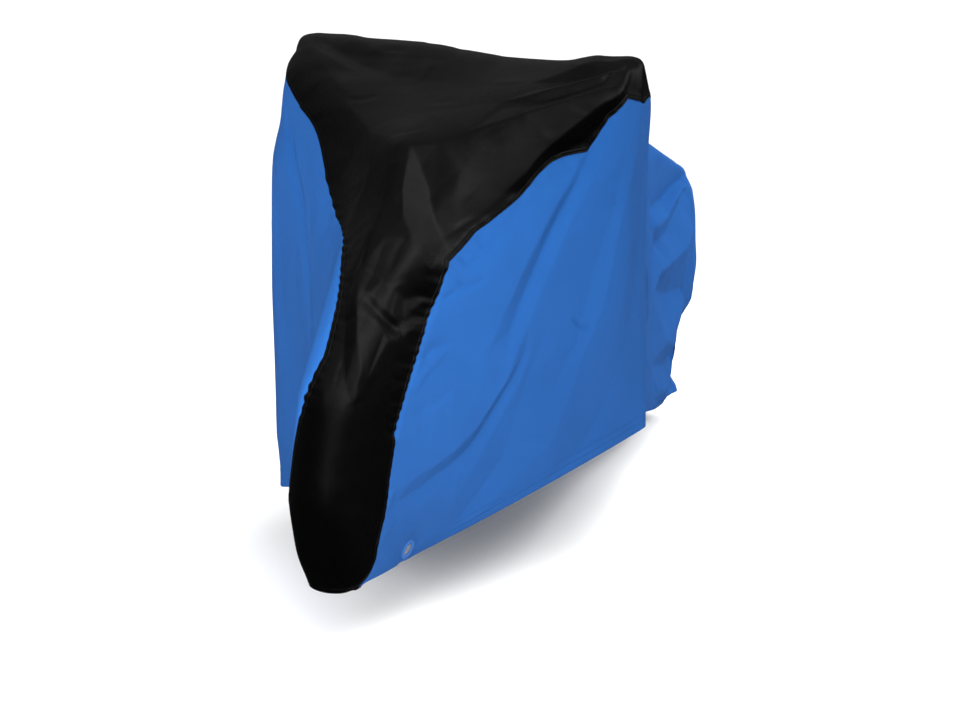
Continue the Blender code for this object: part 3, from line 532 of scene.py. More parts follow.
def eased(values: np.ndarray, low: float, high: float) -> np.ndarray:
    """Soft step from 0 at low to 1 at high."""
    share = np.clip((values - low) / (high - low), 0.0, 1.0)
    return share * share * (3 - 2 * share)


def seam_places(along: np.ndarray, side: Side) -> np.ndarray:
    """Where the seam on one side lies across, at these places along."""
    table = [seam.left if side is Side.LEFT else seam.right for seam in SEAMS]
    return side.value * np.interp(along, [seam.along for seam in SEAMS], table)


def section_points(section: Section) -> np.ndarray:
    """Eleven points of one section, right hem to left hem, turned with the bar.

    Args:
        section: Row of the table.

    Returns:
        Points in the part's frame, 11 x 3.
    """
    columns = ("ridge", "crown", "shoulder", "drop", "flank", "hem")
    left = np.array([getattr(section, column) for column in columns], dtype=float)
    right = left * (1, -1, 1)
    lower, forward, out = section.slack
    shares = np.array([SLACK_SHARES.get(column, 0.0) for column in columns])
    right += shares[:, None] * np.array([forward, -out, -lower])
    points = np.concatenate([right[:0:-1], left])
    turn = BAR_TURN * section.turn
    ahead = points[:, 0] - STEERING
    aside = points[:, 1].copy()
    points[:, 0] = STEERING + math.cos(turn) * ahead - math.sin(turn) * aside
    points[:, 1] = math.sin(turn) * ahead + math.cos(turn) * aside
    return points - ORIGIN


@dataclass
class DrapedFace:
    """The outer face of the cloth, worked out on a fine grid and read between its points.

    The smooth face through the sections comes first. Then every fold raises it along its normals.
    """

    margin: float = 1.4             # a fold is worked out as far as this many widths of its slopes,
    spare_along: float = 1.5        # with this much to spare along and across
    spare_across: float = 1.3
    side_change: float = 0.002      # width over which one slope gives way to the other on the crest
    foot_round: float = 0.08        # rounding of a slope's foot, as a share of the height
    foot_cut: float = 0.002         # share of the height that is taken off, so that the foot ends
    crease_points: int = 13         # points that a main fold is drawn with
    crease_slope: float = 1.35      # its slope and crest, as shares of its width,
    crease_crest: float = 0.25
    crease_ends: float = 0.3        # and the share of its path over which each end fades
    fold_steps: int = 8             # steps for each straight run of a fold's path
    fold_passes: int = 6            # how often the path's corners are rounded
    pucker_points: int = 4          # points that a pucker is drawn with
    pucker_slope: float = 1.6       # its slope and crest, as shares of its width
    pucker_crest: float = 0.4
    pucker_waves: tuple[float, ...] = (12.9, 78.2, 37.7, 51.3)  # angles that make each pucker differ
    pucker_shares: tuple[float, ...] = (0.25, 0.35, 0.4, 0.35)  # in its place, reach, lean and depth
    pucker_start: float = 7.0       # and each run of puckers from the next
    crumple_points: int = 5         # points that a faint crease is drawn with
    crumple_bow: float = 0.16       # how far it may bow, as a share of its length
    crumple_crest: float = 0.0015   # how far it is rounded
    crumple_lengths: Place = (0.5, 1.0)     # least and greatest length, as shares of the table's,
    crumple_heights: Place = (0.5, 1.2)     # and height,
    crumple_widths: Place = (0.7, 1.3)      # and width,
    crumple_tilts: Place = (0.5, 2.0)       # and how much wider one slope may be than the other
    crumple_ends: float = 0.7       # below 1 its height stays up nearer to its ends
    walk_points: int = 97           # points of a walk across the face
    stretch_step: float = 0.01      # the stretch is measured over this much to both sides,
    least_stretch: float = 0.05     # and is never taken to be less than this
    level_facing: float = 0.3       # only cloth that faces the plane's way (cosine)
    level_near: float = 0.03        # and is as near as this to it is laid flat

    def __post_init__(self) -> None:
        """Work out the smooth face and press every fold into it, in the order of the tables."""
        self.along = np.linspace(0.0, SECTIONS[-1].along, ALONG_STEPS)
        self.across = np.linspace(-1.0, 1.0, ACROSS_STEPS)
        self.along_step = self.along[1] - self.along[0]
        self.across_step = self.across[1] - self.across[0]
        self.points = self._smooth_points()
        self.normals = self._worked_out_normals()
        self.height = np.zeros(self.points.shape[:2])
        for net in NETS:
            self._press_net(net)
        for crease in MAIN_CREASES:
            self._press_crease(crease)
        for fold in FOLDS:
            self._press_fold(fold)
        for gather in GATHERS:
            self._press_gather(gather)
        for crumple in CRUMPLES:
            self._press_crumple(crumple)
        self.points = self.points + self.height[..., None] * self.normals
        self.normals = self._worked_out_normals()

    def _smooth_points(self) -> np.ndarray:
        """Face through the sections, straight between them and then softened both ways.

        Returns:
            Points on the grid, ALONG_STEPS x ACROSS_STEPS x 3.
        """
        sections = np.array([section_points(section) for section in SECTIONS])
        places = [section.along for section in SECTIONS]
        shares = np.concatenate([-np.array(ACROSS[:0:-1]), ACROSS])
        by_along = np.array([[np.interp(self.along, places, sections[:, point, axis])
                              for axis in range(3)] for point in range(len(shares))])
        face = np.array([[np.interp(self.across, shares, by_along[:, axis, step]) for axis in range(3)]
                         for step in range(ALONG_STEPS)]).transpose(0, 2, 1)
        face = smoothed(face, SPREAD_ALONG / self.along_step)
        face = smoothed_across(face, SPREAD_ACROSS / self.across_step)
        rounder = smoothed_across(face, SPREAD_FRONT / self.across_step)
        front = (1 - eased(self.along, *ROUND_FRONT))[:, None, None]
        return face + front * (rounder - face)

    def _worked_out_normals(self) -> np.ndarray:
        """Unit normals of the face, pointing away from the bicycle."""
        return unit(np.cross(np.gradient(self.points, axis=1), np.gradient(self.points, axis=0)))

    def _press_net(self, net: Net) -> None:
        """Raise the face to the flat facets between a net's lines, with their edges softened.

        Args:
            net: The pull lines.
        """
        laid = [[((along + net.shift, net.side.value * across), net.share * height)
                 for along, across, height in line.places] for line in net.lines]
        heights = {place: height for line in laid for place, height in line}
        places = list(heights)
        edges = []
        for line in laid:
            numbers = [places.index(place) for place, _ in line]
            edges += list(zip(numbers, numbers[1:]))
        found = delaunay_2d_cdt([Vector((along, across * HALF_GIRTH)) for along, across in places], edges, [],
                                INSIDE_RIM, CLOSE)
        corners, _, triangles, sources = found[:4]
        if len(corners) != len(places):
            log.warning("lines of net %s cross", net.name)
        spots = np.array([tuple(corner) for corner in corners])
        given = np.array(list(heights.values()))
        raised = np.array([given[source[0]] if source else 0.0 for source in sources])
        lift = np.zeros(self.height.shape)
        for triangle in triangles:
            self._fill_facet(lift, spots[list(triangle)], raised[list(triangle)])
        lift = smoothed(lift, PULL_SPREAD / self.along_step)
        lift = smoothed_across(lift, PULL_SPREAD / HALF_GIRTH / self.across_step)
        self.height += MILLIMETRE * lift

    def _fill_facet(self, lift: np.ndarray, corners: np.ndarray, heights: np.ndarray) -> None:
        """Write the plane through three corners into the grid of heights, inside their triangle.

        Args:
            lift: Heights on the grid, changed in place.
            corners: Corners as (along, across in metres), 3 x 2.
            heights: Height at each corner.
        """
        places = (self.along, self.across * HALF_GIRTH)
        low, high = corners.min(axis=0), corners.max(axis=0) + HAIR
        rows, columns = (slice(*np.searchsorted(places[axis], (low[axis], high[axis]))) for axis in range(2))
        along = places[0][rows, None] - corners[0, 0]
        across = places[1][None, columns] - corners[0, 1]
        second, third = corners[1] - corners[0], corners[2] - corners[0]
        doubled = second[0] * third[1] - second[1] * third[0]
        if abs(doubled) < HAIR:
            return
        to_second = (along * third[1] - across * third[0]) / doubled
        to_third = (across * second[0] - along * second[1]) / doubled
        inside = (to_second >= -HAIR) & (to_third >= -HAIR) & (to_second + to_third <= 1 + HAIR)
        plane = heights[0] + to_second * (heights[1] - heights[0]) + to_third * (heights[2] - heights[0])
        lift[rows, columns] = np.where(inside, plane, lift[rows, columns])

    def _press_line(self, line: np.ndarray, fades: np.ndarray, slopes: tuple[float, float], height: float,
                    crest: float) -> None:
        """Raise the face along a line by a ridge with flat slopes.

        At a distance d from the line it stands height * (1 - d / slope) out of the face and nothing beyond
        the slope's foot, with the crest and the foot rounded. Only the grid near the line is worked out.

        Args:
            line: Places (along, across) on the line, N x 2.
            fades: Share of the height at each of those places.
            slopes: Width of the slope to the left and to the right of the walk along the line.
            height: How far it stands out; a trough is negative.
            crest: How far the ridge is rounded.
        """
        places = self.read(self.points, line[:, 0], line[:, 1])
        block = self._block_round(line, self.margin * max(slopes))
        near, facing = self.points[block], self.normals[block]
        best = np.full(near.shape[:2], np.inf)
        strength = np.zeros(near.shape[:2])
        slope = np.full(near.shape[:2], slopes[0])
        for step in range(len(line) - 1):
            run = places[step + 1] - places[step]
            away = near - places[step]
            part = np.clip(away @ run / max(run @ run, 1e-12), 0, 1)
            distance = np.linalg.norm(away - part[..., None] * run, axis=2)
            leftwards = np.sum(np.cross(facing, run) * away, axis=2) / np.linalg.norm(run)
            leftness = eased(leftwards, -self.side_change, self.side_change)
            side = slopes[1] + (slopes[0] - slopes[1]) * leftness
            closer = distance < best
            best = np.where(closer, distance, best)
            slope = np.where(closer, side, slope)
            strength = np.where(closer, fades[step] + part * (fades[step + 1] - fades[step]), strength)
        tent = 1 - (np.sqrt(best ** 2 + crest ** 2) - crest) / slope
        foot = self.foot_round
        tent = (tent + np.sqrt(tent ** 2 + foot ** 2)) / (1 + math.sqrt(1 + foot ** 2)) - self.foot_cut
        self.height[block] += height * strength * np.maximum(tent, 0)

    def _block_round(self, line: np.ndarray, reach: float) -> tuple[slice, slice]:
        """Part of the grid that lies within reach of a line.

        Args:
            line: Places (along, across) on the line, N x 2.
            reach: Distance on the cloth, in metres.

        Returns:
            Slices of rows and columns.
        """
        stretch = self.stretch(line[:, 0], line[:, 1]).min()
        spans = []
        for places, first, step, count, margin in (
                (line[:, 0], 0.0, self.along_step, ALONG_STEPS, self.spare_along * reach),
                (line[:, 1], -1.0, self.across_step, ACROSS_STEPS, self.spare_across * reach / stretch)):
            low = int((places.min() - margin - first) / step)
            high = int((places.max() + margin - first) / step) + 2
            spans.append(slice(max(low, 0), min(high, count)))
        return spans[0], spans[1]

    def _press_crease(self, crease: Crease) -> None:
        """Press one main fold along the curve through its three places, faded out at both ends.

        Args:
            crease: The fold.
        """
        share = np.linspace(0, 1, self.crease_points)
        start, middle, end = (np.array(place) for place in (crease.start, crease.middle, crease.end))
        bow = 2 * middle - (start + end) / 2
        weights = np.stack([(1 - share) ** 2, 2 * share * (1 - share), share ** 2], axis=1)
        line = weights @ np.stack([start, bow, end])
        line[:, 1] = np.clip(line[:, 1], -1, 1)
        fades = np.clip(np.minimum(share, 1 - share) / self.crease_ends, 0, 1)
        slope = self.crease_slope * crease.width
        self._press_line(line, fades, (slope, slope), crease.height, self.crease_crest * crease.width)

    def _press_fold(self, fold: Fold) -> None:
        """Press one sharp fold along its path, drawn a little smoother than the path's straight runs.

        Args:
            fold: The fold.
        """
        path = np.array(fold.path)
        share = np.linspace(0, 1, self.fold_steps * (len(path) - 1) + 1)
        knots = np.linspace(0, 1, len(path))
        line = np.stack([np.interp(share, knots, path[:, axis]) for axis in range(2)], axis=1)
        for _ in range(self.fold_passes):
            line[1:-1] = (line[:-2] + 2 * line[1:-1] + line[2:]) / 4
        fades = eased(np.minimum(share, 1 - share), 0, fold.ends)
        self._press_line(line, fades, (fold.left, fold.right), fold.height, fold.crest)

    def _press_gather(self, gather: Gather) -> None:
        """Press a run of puckers, deepest at the seam; each one differs a little from the next.

        Args:
            gather: The run.
        """
        sign = gather.side.value
        spacing = (gather.last - gather.first) / gather.count
        share = np.linspace(0, 1, self.pucker_points)
        slope = self.pucker_slope * gather.width
        for number in range(gather.count):
            waves = np.sin(np.array(self.pucker_waves) * (number + 1 + self.pucker_start * gather.first))
            shift, longer, askew, deeper = self.pucker_shares * waves
            along = gather.first + (number + 0.5 + shift) * spacing
            edge = float(seam_places(np.array(along), gather.side))
            reach = gather.reach * (1 + longer) / self.stretch(along, edge)
            end = np.clip(edge - gather.towards.value * sign * reach, -1, 1)
            line = np.stack([along + share * gather.lean * (1 + askew),
                             edge + share * (end - edge)], axis=1)
            line[:, 0] = np.clip(line[:, 0], 0, SECTIONS[-1].along)
            depth = gather.depth * (1 + deeper)
            self._press_line(line, 1 - share, (slope, slope), depth, self.pucker_crest * gather.width)

    def _press_crumple(self, crumple: Crumple) -> None:
        """Press faint creases strewn over a patch of the cloth, each in its own direction.

        Args:
            crumple: The patch.
        """
        rng = np.random.default_rng(crumple.seed)
        share = np.linspace(0, 1, self.crumple_points)
        for _ in range(crumple.count):
            along = rng.uniform(*crumple.along)
            across = rng.uniform(*crumple.across)
            length = rng.uniform(*self.crumple_lengths) * crumple.length
            heading = crumple.heading + rng.normal(0, crumple.scatter)
            run = np.array([math.cos(heading) * length,
                            math.sin(heading) * length / self.stretch(along, across)])
            bow = rng.uniform(-self.crumple_bow, self.crumple_bow) * np.array([-run[1], run[0]])
            line = np.array([along, across]) + np.outer(share - 0.5, run)
            line += np.outer(1 - (2 * share - 1) ** 2, bow)
            line = np.clip(line, (0, -1), (SECTIONS[-1].along, 1))
            height = crumple.height * rng.choice((-1.0, 1.0)) * rng.uniform(*self.crumple_heights)
            width = crumple.width * rng.uniform(*self.crumple_widths)
            tilt = rng.uniform(*self.crumple_tilts)
            fades = np.sin(math.pi * share) ** self.crumple_ends
            self._press_line(line, fades, (width * tilt, width / tilt), height, self.crumple_crest)

    def stretch(self, along: np.ndarray, across: np.ndarray) -> np.ndarray:
        """Metres of cloth for each unit across.

        Args:
            along: Places along.
            across: Places across.

        Returns:
            Metres at each place.
        """
        step = self.stretch_step
        after = self.read(self.points, along, np.minimum(across + step, 1.0))
        before = self.read(self.points, along, np.maximum(across - step, -1.0))
        return np.maximum(np.linalg.norm(after - before, axis=-1) / (2 * step), self.least_stretch)

    def read(self, values: np.ndarray, along: np.ndarray, across: np.ndarray) -> np.ndarray:
        """Values at places along and across, between the four nearest grid points.

        Args:
            values: Values on the grid, ALONG_STEPS x ACROSS_STEPS x N.
            along: Places along.
            across: Places across.

        Returns:
            Values at those places.
        """
        row = np.clip(np.asarray(along) / self.along[-1] * (ALONG_STEPS - 1), 0, ALONG_STEPS - 1.001)
        column = np.clip((np.asarray(across) + 1) / 2 * (ACROSS_STEPS - 1), 0, ACROSS_STEPS - 1.001)
        top, left = row.astype(int), column.astype(int)
        down, over = (row - top)[..., None], (column - left)[..., None]
        upper = values[top, left] * (1 - over) + values[top, left + 1] * over
        lower = values[top + 1, left] * (1 - over) + values[top + 1, left + 1] * over
        return upper * (1 - down) + lower * down

    def walked(self, along: np.ndarray, start: np.ndarray, end: np.ndarray) -> tuple[np.ndarray, np.ndarray]:
        """Lengths of cloth on walks across from start to end, one for each place along.

        Args:
            along: Places along, R.
            start: Where each walk starts, across, R.
            end: Where it ends, R.

        Returns:
            Places across on each walk (R x walk_points) and the length walked to each of them.
        """
        share = np.linspace(0, 1, self.walk_points)
        across = start[:, None] + share * (end - start)[:, None]
        points = self.read(self.points, np.repeat(along[:, None], len(share), axis=1), across)
        steps = np.linalg.norm(np.diff(points, axis=1), axis=2)
        return across, np.concatenate([np.zeros((len(along), 1)), np.cumsum(steps, axis=1)], axis=1)

    def flatten(self, middle: np.ndarray, normal: np.ndarray, inner: float, outer: float) -> None:
        """Lay the face flat round a place.

        Args:
            middle: Place on the plane.
            normal: The plane's normal.
            inner: Radius inside which the face lies in the plane.
            outer: Radius beyond which it stays as it was.
        """
        away = self.points - middle
        height = away @ normal
        radius = np.sqrt(np.maximum(np.sum(away * away, axis=2) - height ** 2, 0))
        facing = (self.normals @ normal > self.level_facing) & (np.abs(height) < self.level_near)
        share = (1 - eased(radius, inner, outer)) * facing
        self.points = self.points - (share * height)[..., None] * normal
        self.normals = self._worked_out_normals()


# ---- finishes ------------------------------------------------------------------------------------


UV_NAME = "metres"
EDGE_NAME = "edge_distance"


@dataclass(frozen=True)
class Finish:
    """Surface of one material, in linear colour."""

    name: str
    colour: tuple[float, float, float]
    roughness: float

    def _start(self) -> tuple[bpy.types.Material, bpy.types.Node]:
        """New material with the constants set.

        Returns:
            The material and its shader.
        """
        material = bpy.data.materials.new(self.name)
        material.use_nodes = True
        shader = material.node_tree.nodes["Principled BSDF"]
        shader.inputs["Base Color"].default_value = (*self.colour, 1.0)
        shader.inputs["Roughness"].default_value = self.roughness
        return material, shader

    def material(self) -> bpy.types.Material:
        """Plain finish."""
        return self._start()[0]


@dataclass(frozen=True)
class ClothFinish(Finish):
    """Coated woven polyester: a fine weave, faint crumples and grooves under the stitches.

    "stitch_lines" are the grooves' distances from the panel's edge, in metres.
    """

    specular: float
    crumple: float
    stitch_lines: tuple[float, ...]
    fade: float = 0.10                      # how much the colour varies from place to place
    gloss_spread: Place = (-0.05, 0.07)     # how much the roughness varies
    crumple_depth: float = 0.0028
    grain_depth: float = 0.0005
    grain_share: float = 0.35
    weave_depth: float = 0.00012
    weave_share: float = 0.5
    groove_depth: float = 0.0010
    groove_share: float = 0.8
    groove_width: float = 0.0022
    thread_pitch: float = 0.0012

    def material(self) -> bpy.types.Material:
        """Material of the cloth, with its bumps one on top of the other.

        Returns:
            The material.
        """
        material, shader = self._start()
        tree = material.node_tree
        shader.inputs["Specular IOR Level"].default_value = self.specular
        place = new_node(tree, "ShaderNodeTexCoord").outputs["Object"]
        self._link_colour(tree, shader, place)
        creased = self._bumped(tree, None, self._crumpled(tree, place), self.crumple_depth, self.crumple)
        grained = self._bumped(tree, creased, self._grain(tree, place), self.grain_depth, self.grain_share)
        woven = self._bumped(tree, grained, self._weave(tree), self.weave_depth, self.weave_share)
        grooved = self._bumped(tree, woven, self._grooves(tree), self.groove_depth, self.groove_share)
        tree.links.new(grooved, shader.inputs["Normal"])
        return material

    def _link_colour(self, tree: bpy.types.NodeTree, shader: bpy.types.Node,
                     place: bpy.types.NodeSocket) -> None:
        """Vary the colour and the gloss a little from place to place.

        Args:
            tree: Node tree of the material.
            shader: Its shader.
            place: Place on the cloth.
        """
        noise = new_node(tree, "ShaderNodeTexNoise", Scale=5.0, Detail=4.0, Roughness=0.6)
        tree.links.new(place, noise.inputs["Vector"])
        mix = new_node(tree, "ShaderNodeMix")
        mix.data_type = "RGBA"
        mix.inputs["A"].default_value = (*(part * (1 - self.fade) for part in self.colour), 1.0)
        mix.inputs["B"].default_value = (*(part * (1 + self.fade) for part in self.colour), 1.0)
        tree.links.new(noise.outputs["Fac"], mix.inputs["Factor"])
        tree.links.new(mix.outputs["Result"], shader.inputs["Base Color"])
        gloss = new_node(tree, "ShaderNodeMapRange")
        gloss.inputs["To Min"].default_value = self.roughness + self.gloss_spread[0]
        gloss.inputs["To Max"].default_value = self.roughness + self.gloss_spread[1]
        tree.links.new(noise.outputs["Fac"], gloss.inputs["Value"])
        tree.links.new(gloss.outputs["Result"], shader.inputs["Roughness"])

    @staticmethod
    def _bumped(tree: bpy.types.NodeTree, below: bpy.types.NodeSocket | None, height: bpy.types.NodeSocket,
                distance: float, strength: float) -> bpy.types.NodeSocket:
        """Bump on top of the normal below it.

        Args:
            tree: Node tree of the material.
            below: Normal that it is put on, if there is one.
            height: Its height.
            distance: Depth for a height of 1, in metres.
            strength: Share of the bump that is used.

        Returns:
            The new normal.
        """
        bump = new_node(tree, "ShaderNodeBump", Distance=distance, Strength=strength)
        tree.links.new(height, bump.inputs["Height"])
        if below is not None:
            tree.links.new(below, bump.inputs["Normal"])
        return bump.outputs["Normal"]

    @staticmethod
    def _crumpled(tree: bpy.types.NodeTree, place: bpy.types.NodeSocket) -> bpy.types.NodeSocket:
        """Small flat facets with soft creases between them, drawn askew by a noise.

        Args:
            tree: Node tree of the material.
            place: Place on the cloth.

        Returns:
            Their height.
        """
        warp = new_node(tree, "ShaderNodeTexNoise", Scale=7.0, Detail=2.0)
        tree.links.new(place, warp.inputs["Vector"])
        shift = new_node(tree, "ShaderNodeVectorMath")
        shift.operation = "MULTIPLY_ADD"
        shift.inputs[1].default_value = (0.10, 0.10, 0.10)
        tree.links.new(warp.outputs["Color"], shift.inputs[0])
        tree.links.new(place, shift.inputs[2])
        facets = new_node(tree, "ShaderNodeTexVoronoi", Scale=13.0)
        facets.feature = "SMOOTH_F1"
        facets.inputs["Smoothness"].default_value = 0.35
        tree.links.new(shift.outputs["Vector"], facets.inputs["Vector"])
        return facets.outputs["Distance"]

    @staticmethod
    def _grain(tree: bpy.types.NodeTree, place: bpy.types.NodeSocket) -> bpy.types.NodeSocket:
        """Fine unevenness of the coating.

        Args:
            tree: Node tree of the material.
            place: Place on the cloth.

        Returns:
            Its height.
        """
        noise = new_node(tree, "ShaderNodeTexNoise", Scale=85.0, Detail=4.0, Roughness=0.55)
        tree.links.new(place, noise.inputs["Vector"])
        return noise.outputs["Fac"]

    def _weave(self, tree: bpy.types.NodeTree) -> bpy.types.NodeSocket:
        """Threads over and under each other: the product of a wave along and a wave across.

        Args:
            tree: Node tree of the material.

        Returns:
            Their height.
        """
        uv = new_node(tree, "ShaderNodeUVMap")
        uv.uv_map = UV_NAME
        split = new_node(tree, "ShaderNodeSeparateXYZ")
        tree.links.new(uv.outputs["UV"], split.inputs[0])
        waves = []
        for axis in ("X", "Y"):
            turns = math_node(tree, "MULTIPLY", split.outputs[axis], math.tau / self.thread_pitch)
            waves.append(math_node(tree, "SINE", turns))
        return math_node(tree, "MULTIPLY", waves[0], waves[1])

    def _grooves(self, tree: bpy.types.NodeTree) -> bpy.types.NodeSocket:
        """Height of the cloth near its edges: 1, and down to 0 in the groove of each line of stitches.

        Args:
            tree: Node tree of the material.

        Returns:
            The height.
        """
        edge = new_node(tree, "ShaderNodeAttribute")
        edge.attribute_name = EDGE_NAME
        grooves = []
        for line in self.stitch_lines:
            away = math_node(tree, "ABSOLUTE", math_node(tree, "SUBTRACT", edge.outputs["Fac"], line))
            groove = new_node(tree, "ShaderNodeMapRange")
            groove.interpolation_type = "SMOOTHSTEP"
            groove.inputs["From Max"].default_value = self.groove_width
            tree.links.new(away, groove.inputs["Value"])
            grooves.append(groove.outputs["Result"])
        height = grooves[0]
        for groove in grooves[1:]:
            height = math_node(tree, "MULTIPLY", height, groove)
        return height


def new_node(tree: bpy.types.NodeTree, kind: str, **constants: float) -> bpy.types.Node:
    """New node with its constants set.

    Args:
        tree: Node tree that it goes into.
        kind: Blender's name of the node type.
        constants: Values of its inputs, by name.

    Returns:
        The node.
    """
    node = tree.nodes.new(kind)
    for name, value in constants.items():
        node.inputs[name].default_value = value
    return node


def math_node(tree: bpy.types.NodeTree, operation: str, first: bpy.types.NodeSocket,
              second: bpy.types.NodeSocket | float | None = None) -> bpy.types.NodeSocket:
    """Result of one sum.

    Args:
        tree: Node tree that it goes into.
        operation: Blender's name of the sum.
        first: First value.
        second: Second value, a socket or a constant.

    Returns:
        The result's socket.
    """
    node = tree.nodes.new("ShaderNodeMath")
    node.operation = operation
    tree.links.new(first, node.inputs[0])
    if isinstance(second, float):
        node.inputs[1].default_value = second
    elif second is not None:
        tree.links.new(second, node.inputs[1])
    return node.outputs["Value"]


# ---- pieces --------------------------------------------------------------------------------------


@dataclass(frozen=True)
class Turning:
    """A cloth edge turned inwards: a half round of this radius, then a band of this width."""

    radius: float
    band: float
    band_steps: int = 3
    round_steps: int = 4

    def steps(self) -> tuple[np.ndarray, np.ndarray, np.ndarray]:
        """Steps of the turning, from the edge inwards.

        Returns:
            How far each lies back from the edge, below the face and beyond the edge.
        """
        angle = np.linspace(0, math.pi, self.round_steps + 1)[1:]
        back = np.linspace(0, self.band, self.band_steps + 1)[1:]
        below = np.concatenate([self.radius * (1 - np.cos(angle)), np.full(len(back), 2 * self.radius)])
        beyond = np.concatenate([self.radius * np.sin(angle), np.zeros(len(back))])
        return np.concatenate([np.zeros(len(angle)), back]), below, beyond


@dataclass
class SheetGrid:
    """Points of a panel on a grid: places on the face, and steps away from it, in metres.

    "lift" steps out along the normal, and the two "beyond" steps go on in the face's own directions.
    "distance" is how far a row has walked across the cloth from its seam, and "edge" is the distance of the
    panel's edge, where the stitches' grooves lie.
    """

    along: np.ndarray
    across: np.ndarray
    lift: np.ndarray
    beyond_across: np.ndarray
    beyond_along: np.ndarray
    distance: np.ndarray
    edge: np.ndarray

    def points(self, face: DrapedFace) -> np.ndarray:
        """The grid in space.

        Args:
            face: The draped face.

        Returns:
            Points, rows x columns x 3.
        """
        points = face.read(face.points, self.along, self.across)
        normals = unit(face.read(face.normals, self.along, self.across))
        run_across = unit(face.read(np.gradient(face.points, axis=1), self.along, self.across))
        run_along = unit(face.read(np.gradient(face.points, axis=0), self.along, self.across))
        return (points + self.lift[..., None] * normals + self.beyond_across[..., None] * run_across
                + self.beyond_along[..., None] * run_along)

    def with_turned_hem(self, turning: Turning, end: int) -> "SheetGrid":
        """Add the rows of a turned hem before the first row or beyond the last one.

        Args:
            turning: The hem's turning.
            end: Number of the row at the hem, 0 or -1.

        Returns:
            The longer grid.
        """
        back, below, beyond = (part[:, None] for part in turning.steps())
        outwards = 1 if end else -1
        flat = np.zeros((len(back), self.along.shape[1]))
        hem = vars(SheetGrid(self.along[end] - outwards * back, self.across[end] + flat,
                             self.lift[end] - below, self.beyond_across[end] + flat,
                             outwards * beyond + flat, self.distance[end] + flat, back + below + flat))
        edge = np.minimum(self.edge, np.abs(self.along - self.along[end]))
        return SheetGrid(**{name: np.concatenate([rows, hem[name]] if end else [hem[name][::-1], rows])
                            for name, rows in {**vars(self), "edge": edge}.items()})


def new_piece(name: str, points: np.ndarray, faces: list, finish: Finish) -> bpy.types.Object:
    """New piece of the cover: its mesh, smoothly shaded and dressed, on the part's one body.

    Args:
        name: Name of the piece.
        points: Its points, in any grid of N x 3.
        faces: Corners of each face.
        finish: Its finish.

    Returns:
        The object.
    """
    mesh = bpy.data.meshes.new(name)
    mesh.from_pydata(points.reshape(-1, 3).tolist(), [], faces)
    mesh.update()
    mesh.shade_smooth()
    mesh.materials.append(finish.material())
    piece = bpy.data.objects.new(name, mesh)
    bpy.context.scene.collection.objects.link(piece)
    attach(piece, "root")
    return piece


@dataclass(kw_only=True)
class Panel:
    """One sewn panel, built as a thin sheet on the draped face; "nodes" are the ones that it replaces."""

    name: str
    nodes: tuple[str, ...]
    slot: str
    finish: ClothFinish
    thickness: float = 0.0007       # of the cloth in the eyelets, which grip it
    spare: float = 1.02             # the flat cut's box has at least this share of its area

    def add_sheet(self, grid: SheetGrid, points: np.ndarray, faces: np.ndarray,
                  area: float) -> bpy.types.Object:
        """Make the sheet's object, dress it and hide the nodes that it replaces.

        Its place on the flat cloth, for the weave, is the length walked down the rows and across them.

        Args:
            grid: The panel's grid.
            points: Its points, rows x columns x 3.
            faces: Corners of each quad, M x 4.
            area: Area of the flat cut, in square metres.

        Returns:
            The object.
        """
        down = np.concatenate([[0.0], np.cumsum(np.abs(np.diff(grid.along[:, 0])))])
        uv = np.stack([np.repeat(down[:, None], points.shape[1], axis=1), grid.distance], axis=2)
        used, renumbered = np.unique(faces, return_inverse=True)
        faces = renumbered.reshape(faces.shape)
        piece = new_piece(self.name, points.reshape(-1, 3)[used], faces.tolist(), self.finish)
        mesh = piece.data
        layer = mesh.uv_layers.new(name=UV_NAME)
        corners = np.empty(len(mesh.loops), dtype=np.int32)
        mesh.loops.foreach_get("vertex_index", corners)
        layer.data.foreach_set("uv", uv.reshape(-1, 2)[used][corners].ravel())
        attribute = mesh.attributes.new(EDGE_NAME, "FLOAT", "POINT")
        attribute.data.foreach_set("value", grid.edge.reshape(-1)[used].astype(np.float32))
        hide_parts(*self.nodes)
        log.info("%s: %d points, %d quads, %.2f m2", self.name, len(used), len(faces), area)
        return piece


def quad_corners(rows: int, columns: int, outwards: bool) -> np.ndarray:
    """Corners of every cell of a grid, (rows - 1) x (columns - 1) x 4.

    Args:
        rows: Rows of points.
        columns: Points in a row.
        outwards: Whether the columns run the way that makes the faces point outwards.

    Returns:
        Point numbers.
    """
    number = np.arange(rows * columns).reshape(rows, columns)
    around = [number[:-1, :-1], number[:-1, 1:], number[1:, 1:], number[1:, :-1]]
    return np.stack(around if outwards else around[::-1], axis=2)


def row_places(stretches: Sequence[tuple[float, float]]) -> np.ndarray:
    """Places of the rows along the cloth.

    Args:
        stretches: Ends of the stretches with the row spacing up to each end; the first entry is the start.

    Returns:
        Places along.
    """
    rows = [np.array([stretches[0][0]])]
    for (start, _), (end, spacing) in zip(stretches, stretches[1:]):
        steps = max(round((end - start) / spacing), 1)
        rows.append(np.linspace(start, end, steps + 1)[1:])
    return np.concatenate(rows)


def sheet_area(points: np.ndarray) -> float:
    """Area of a grid of points: half the product of the diagonals of each cell.

    Args:
        points: Rows x columns x 3.

    Returns:
        Square metres.
    """
    first = points[1:, 1:] - points[:-1, :-1]
    second = points[1:, :-1] - points[:-1, 1:]
    return float(np.linalg.norm(np.cross(first, second), axis=2).sum() / 2)


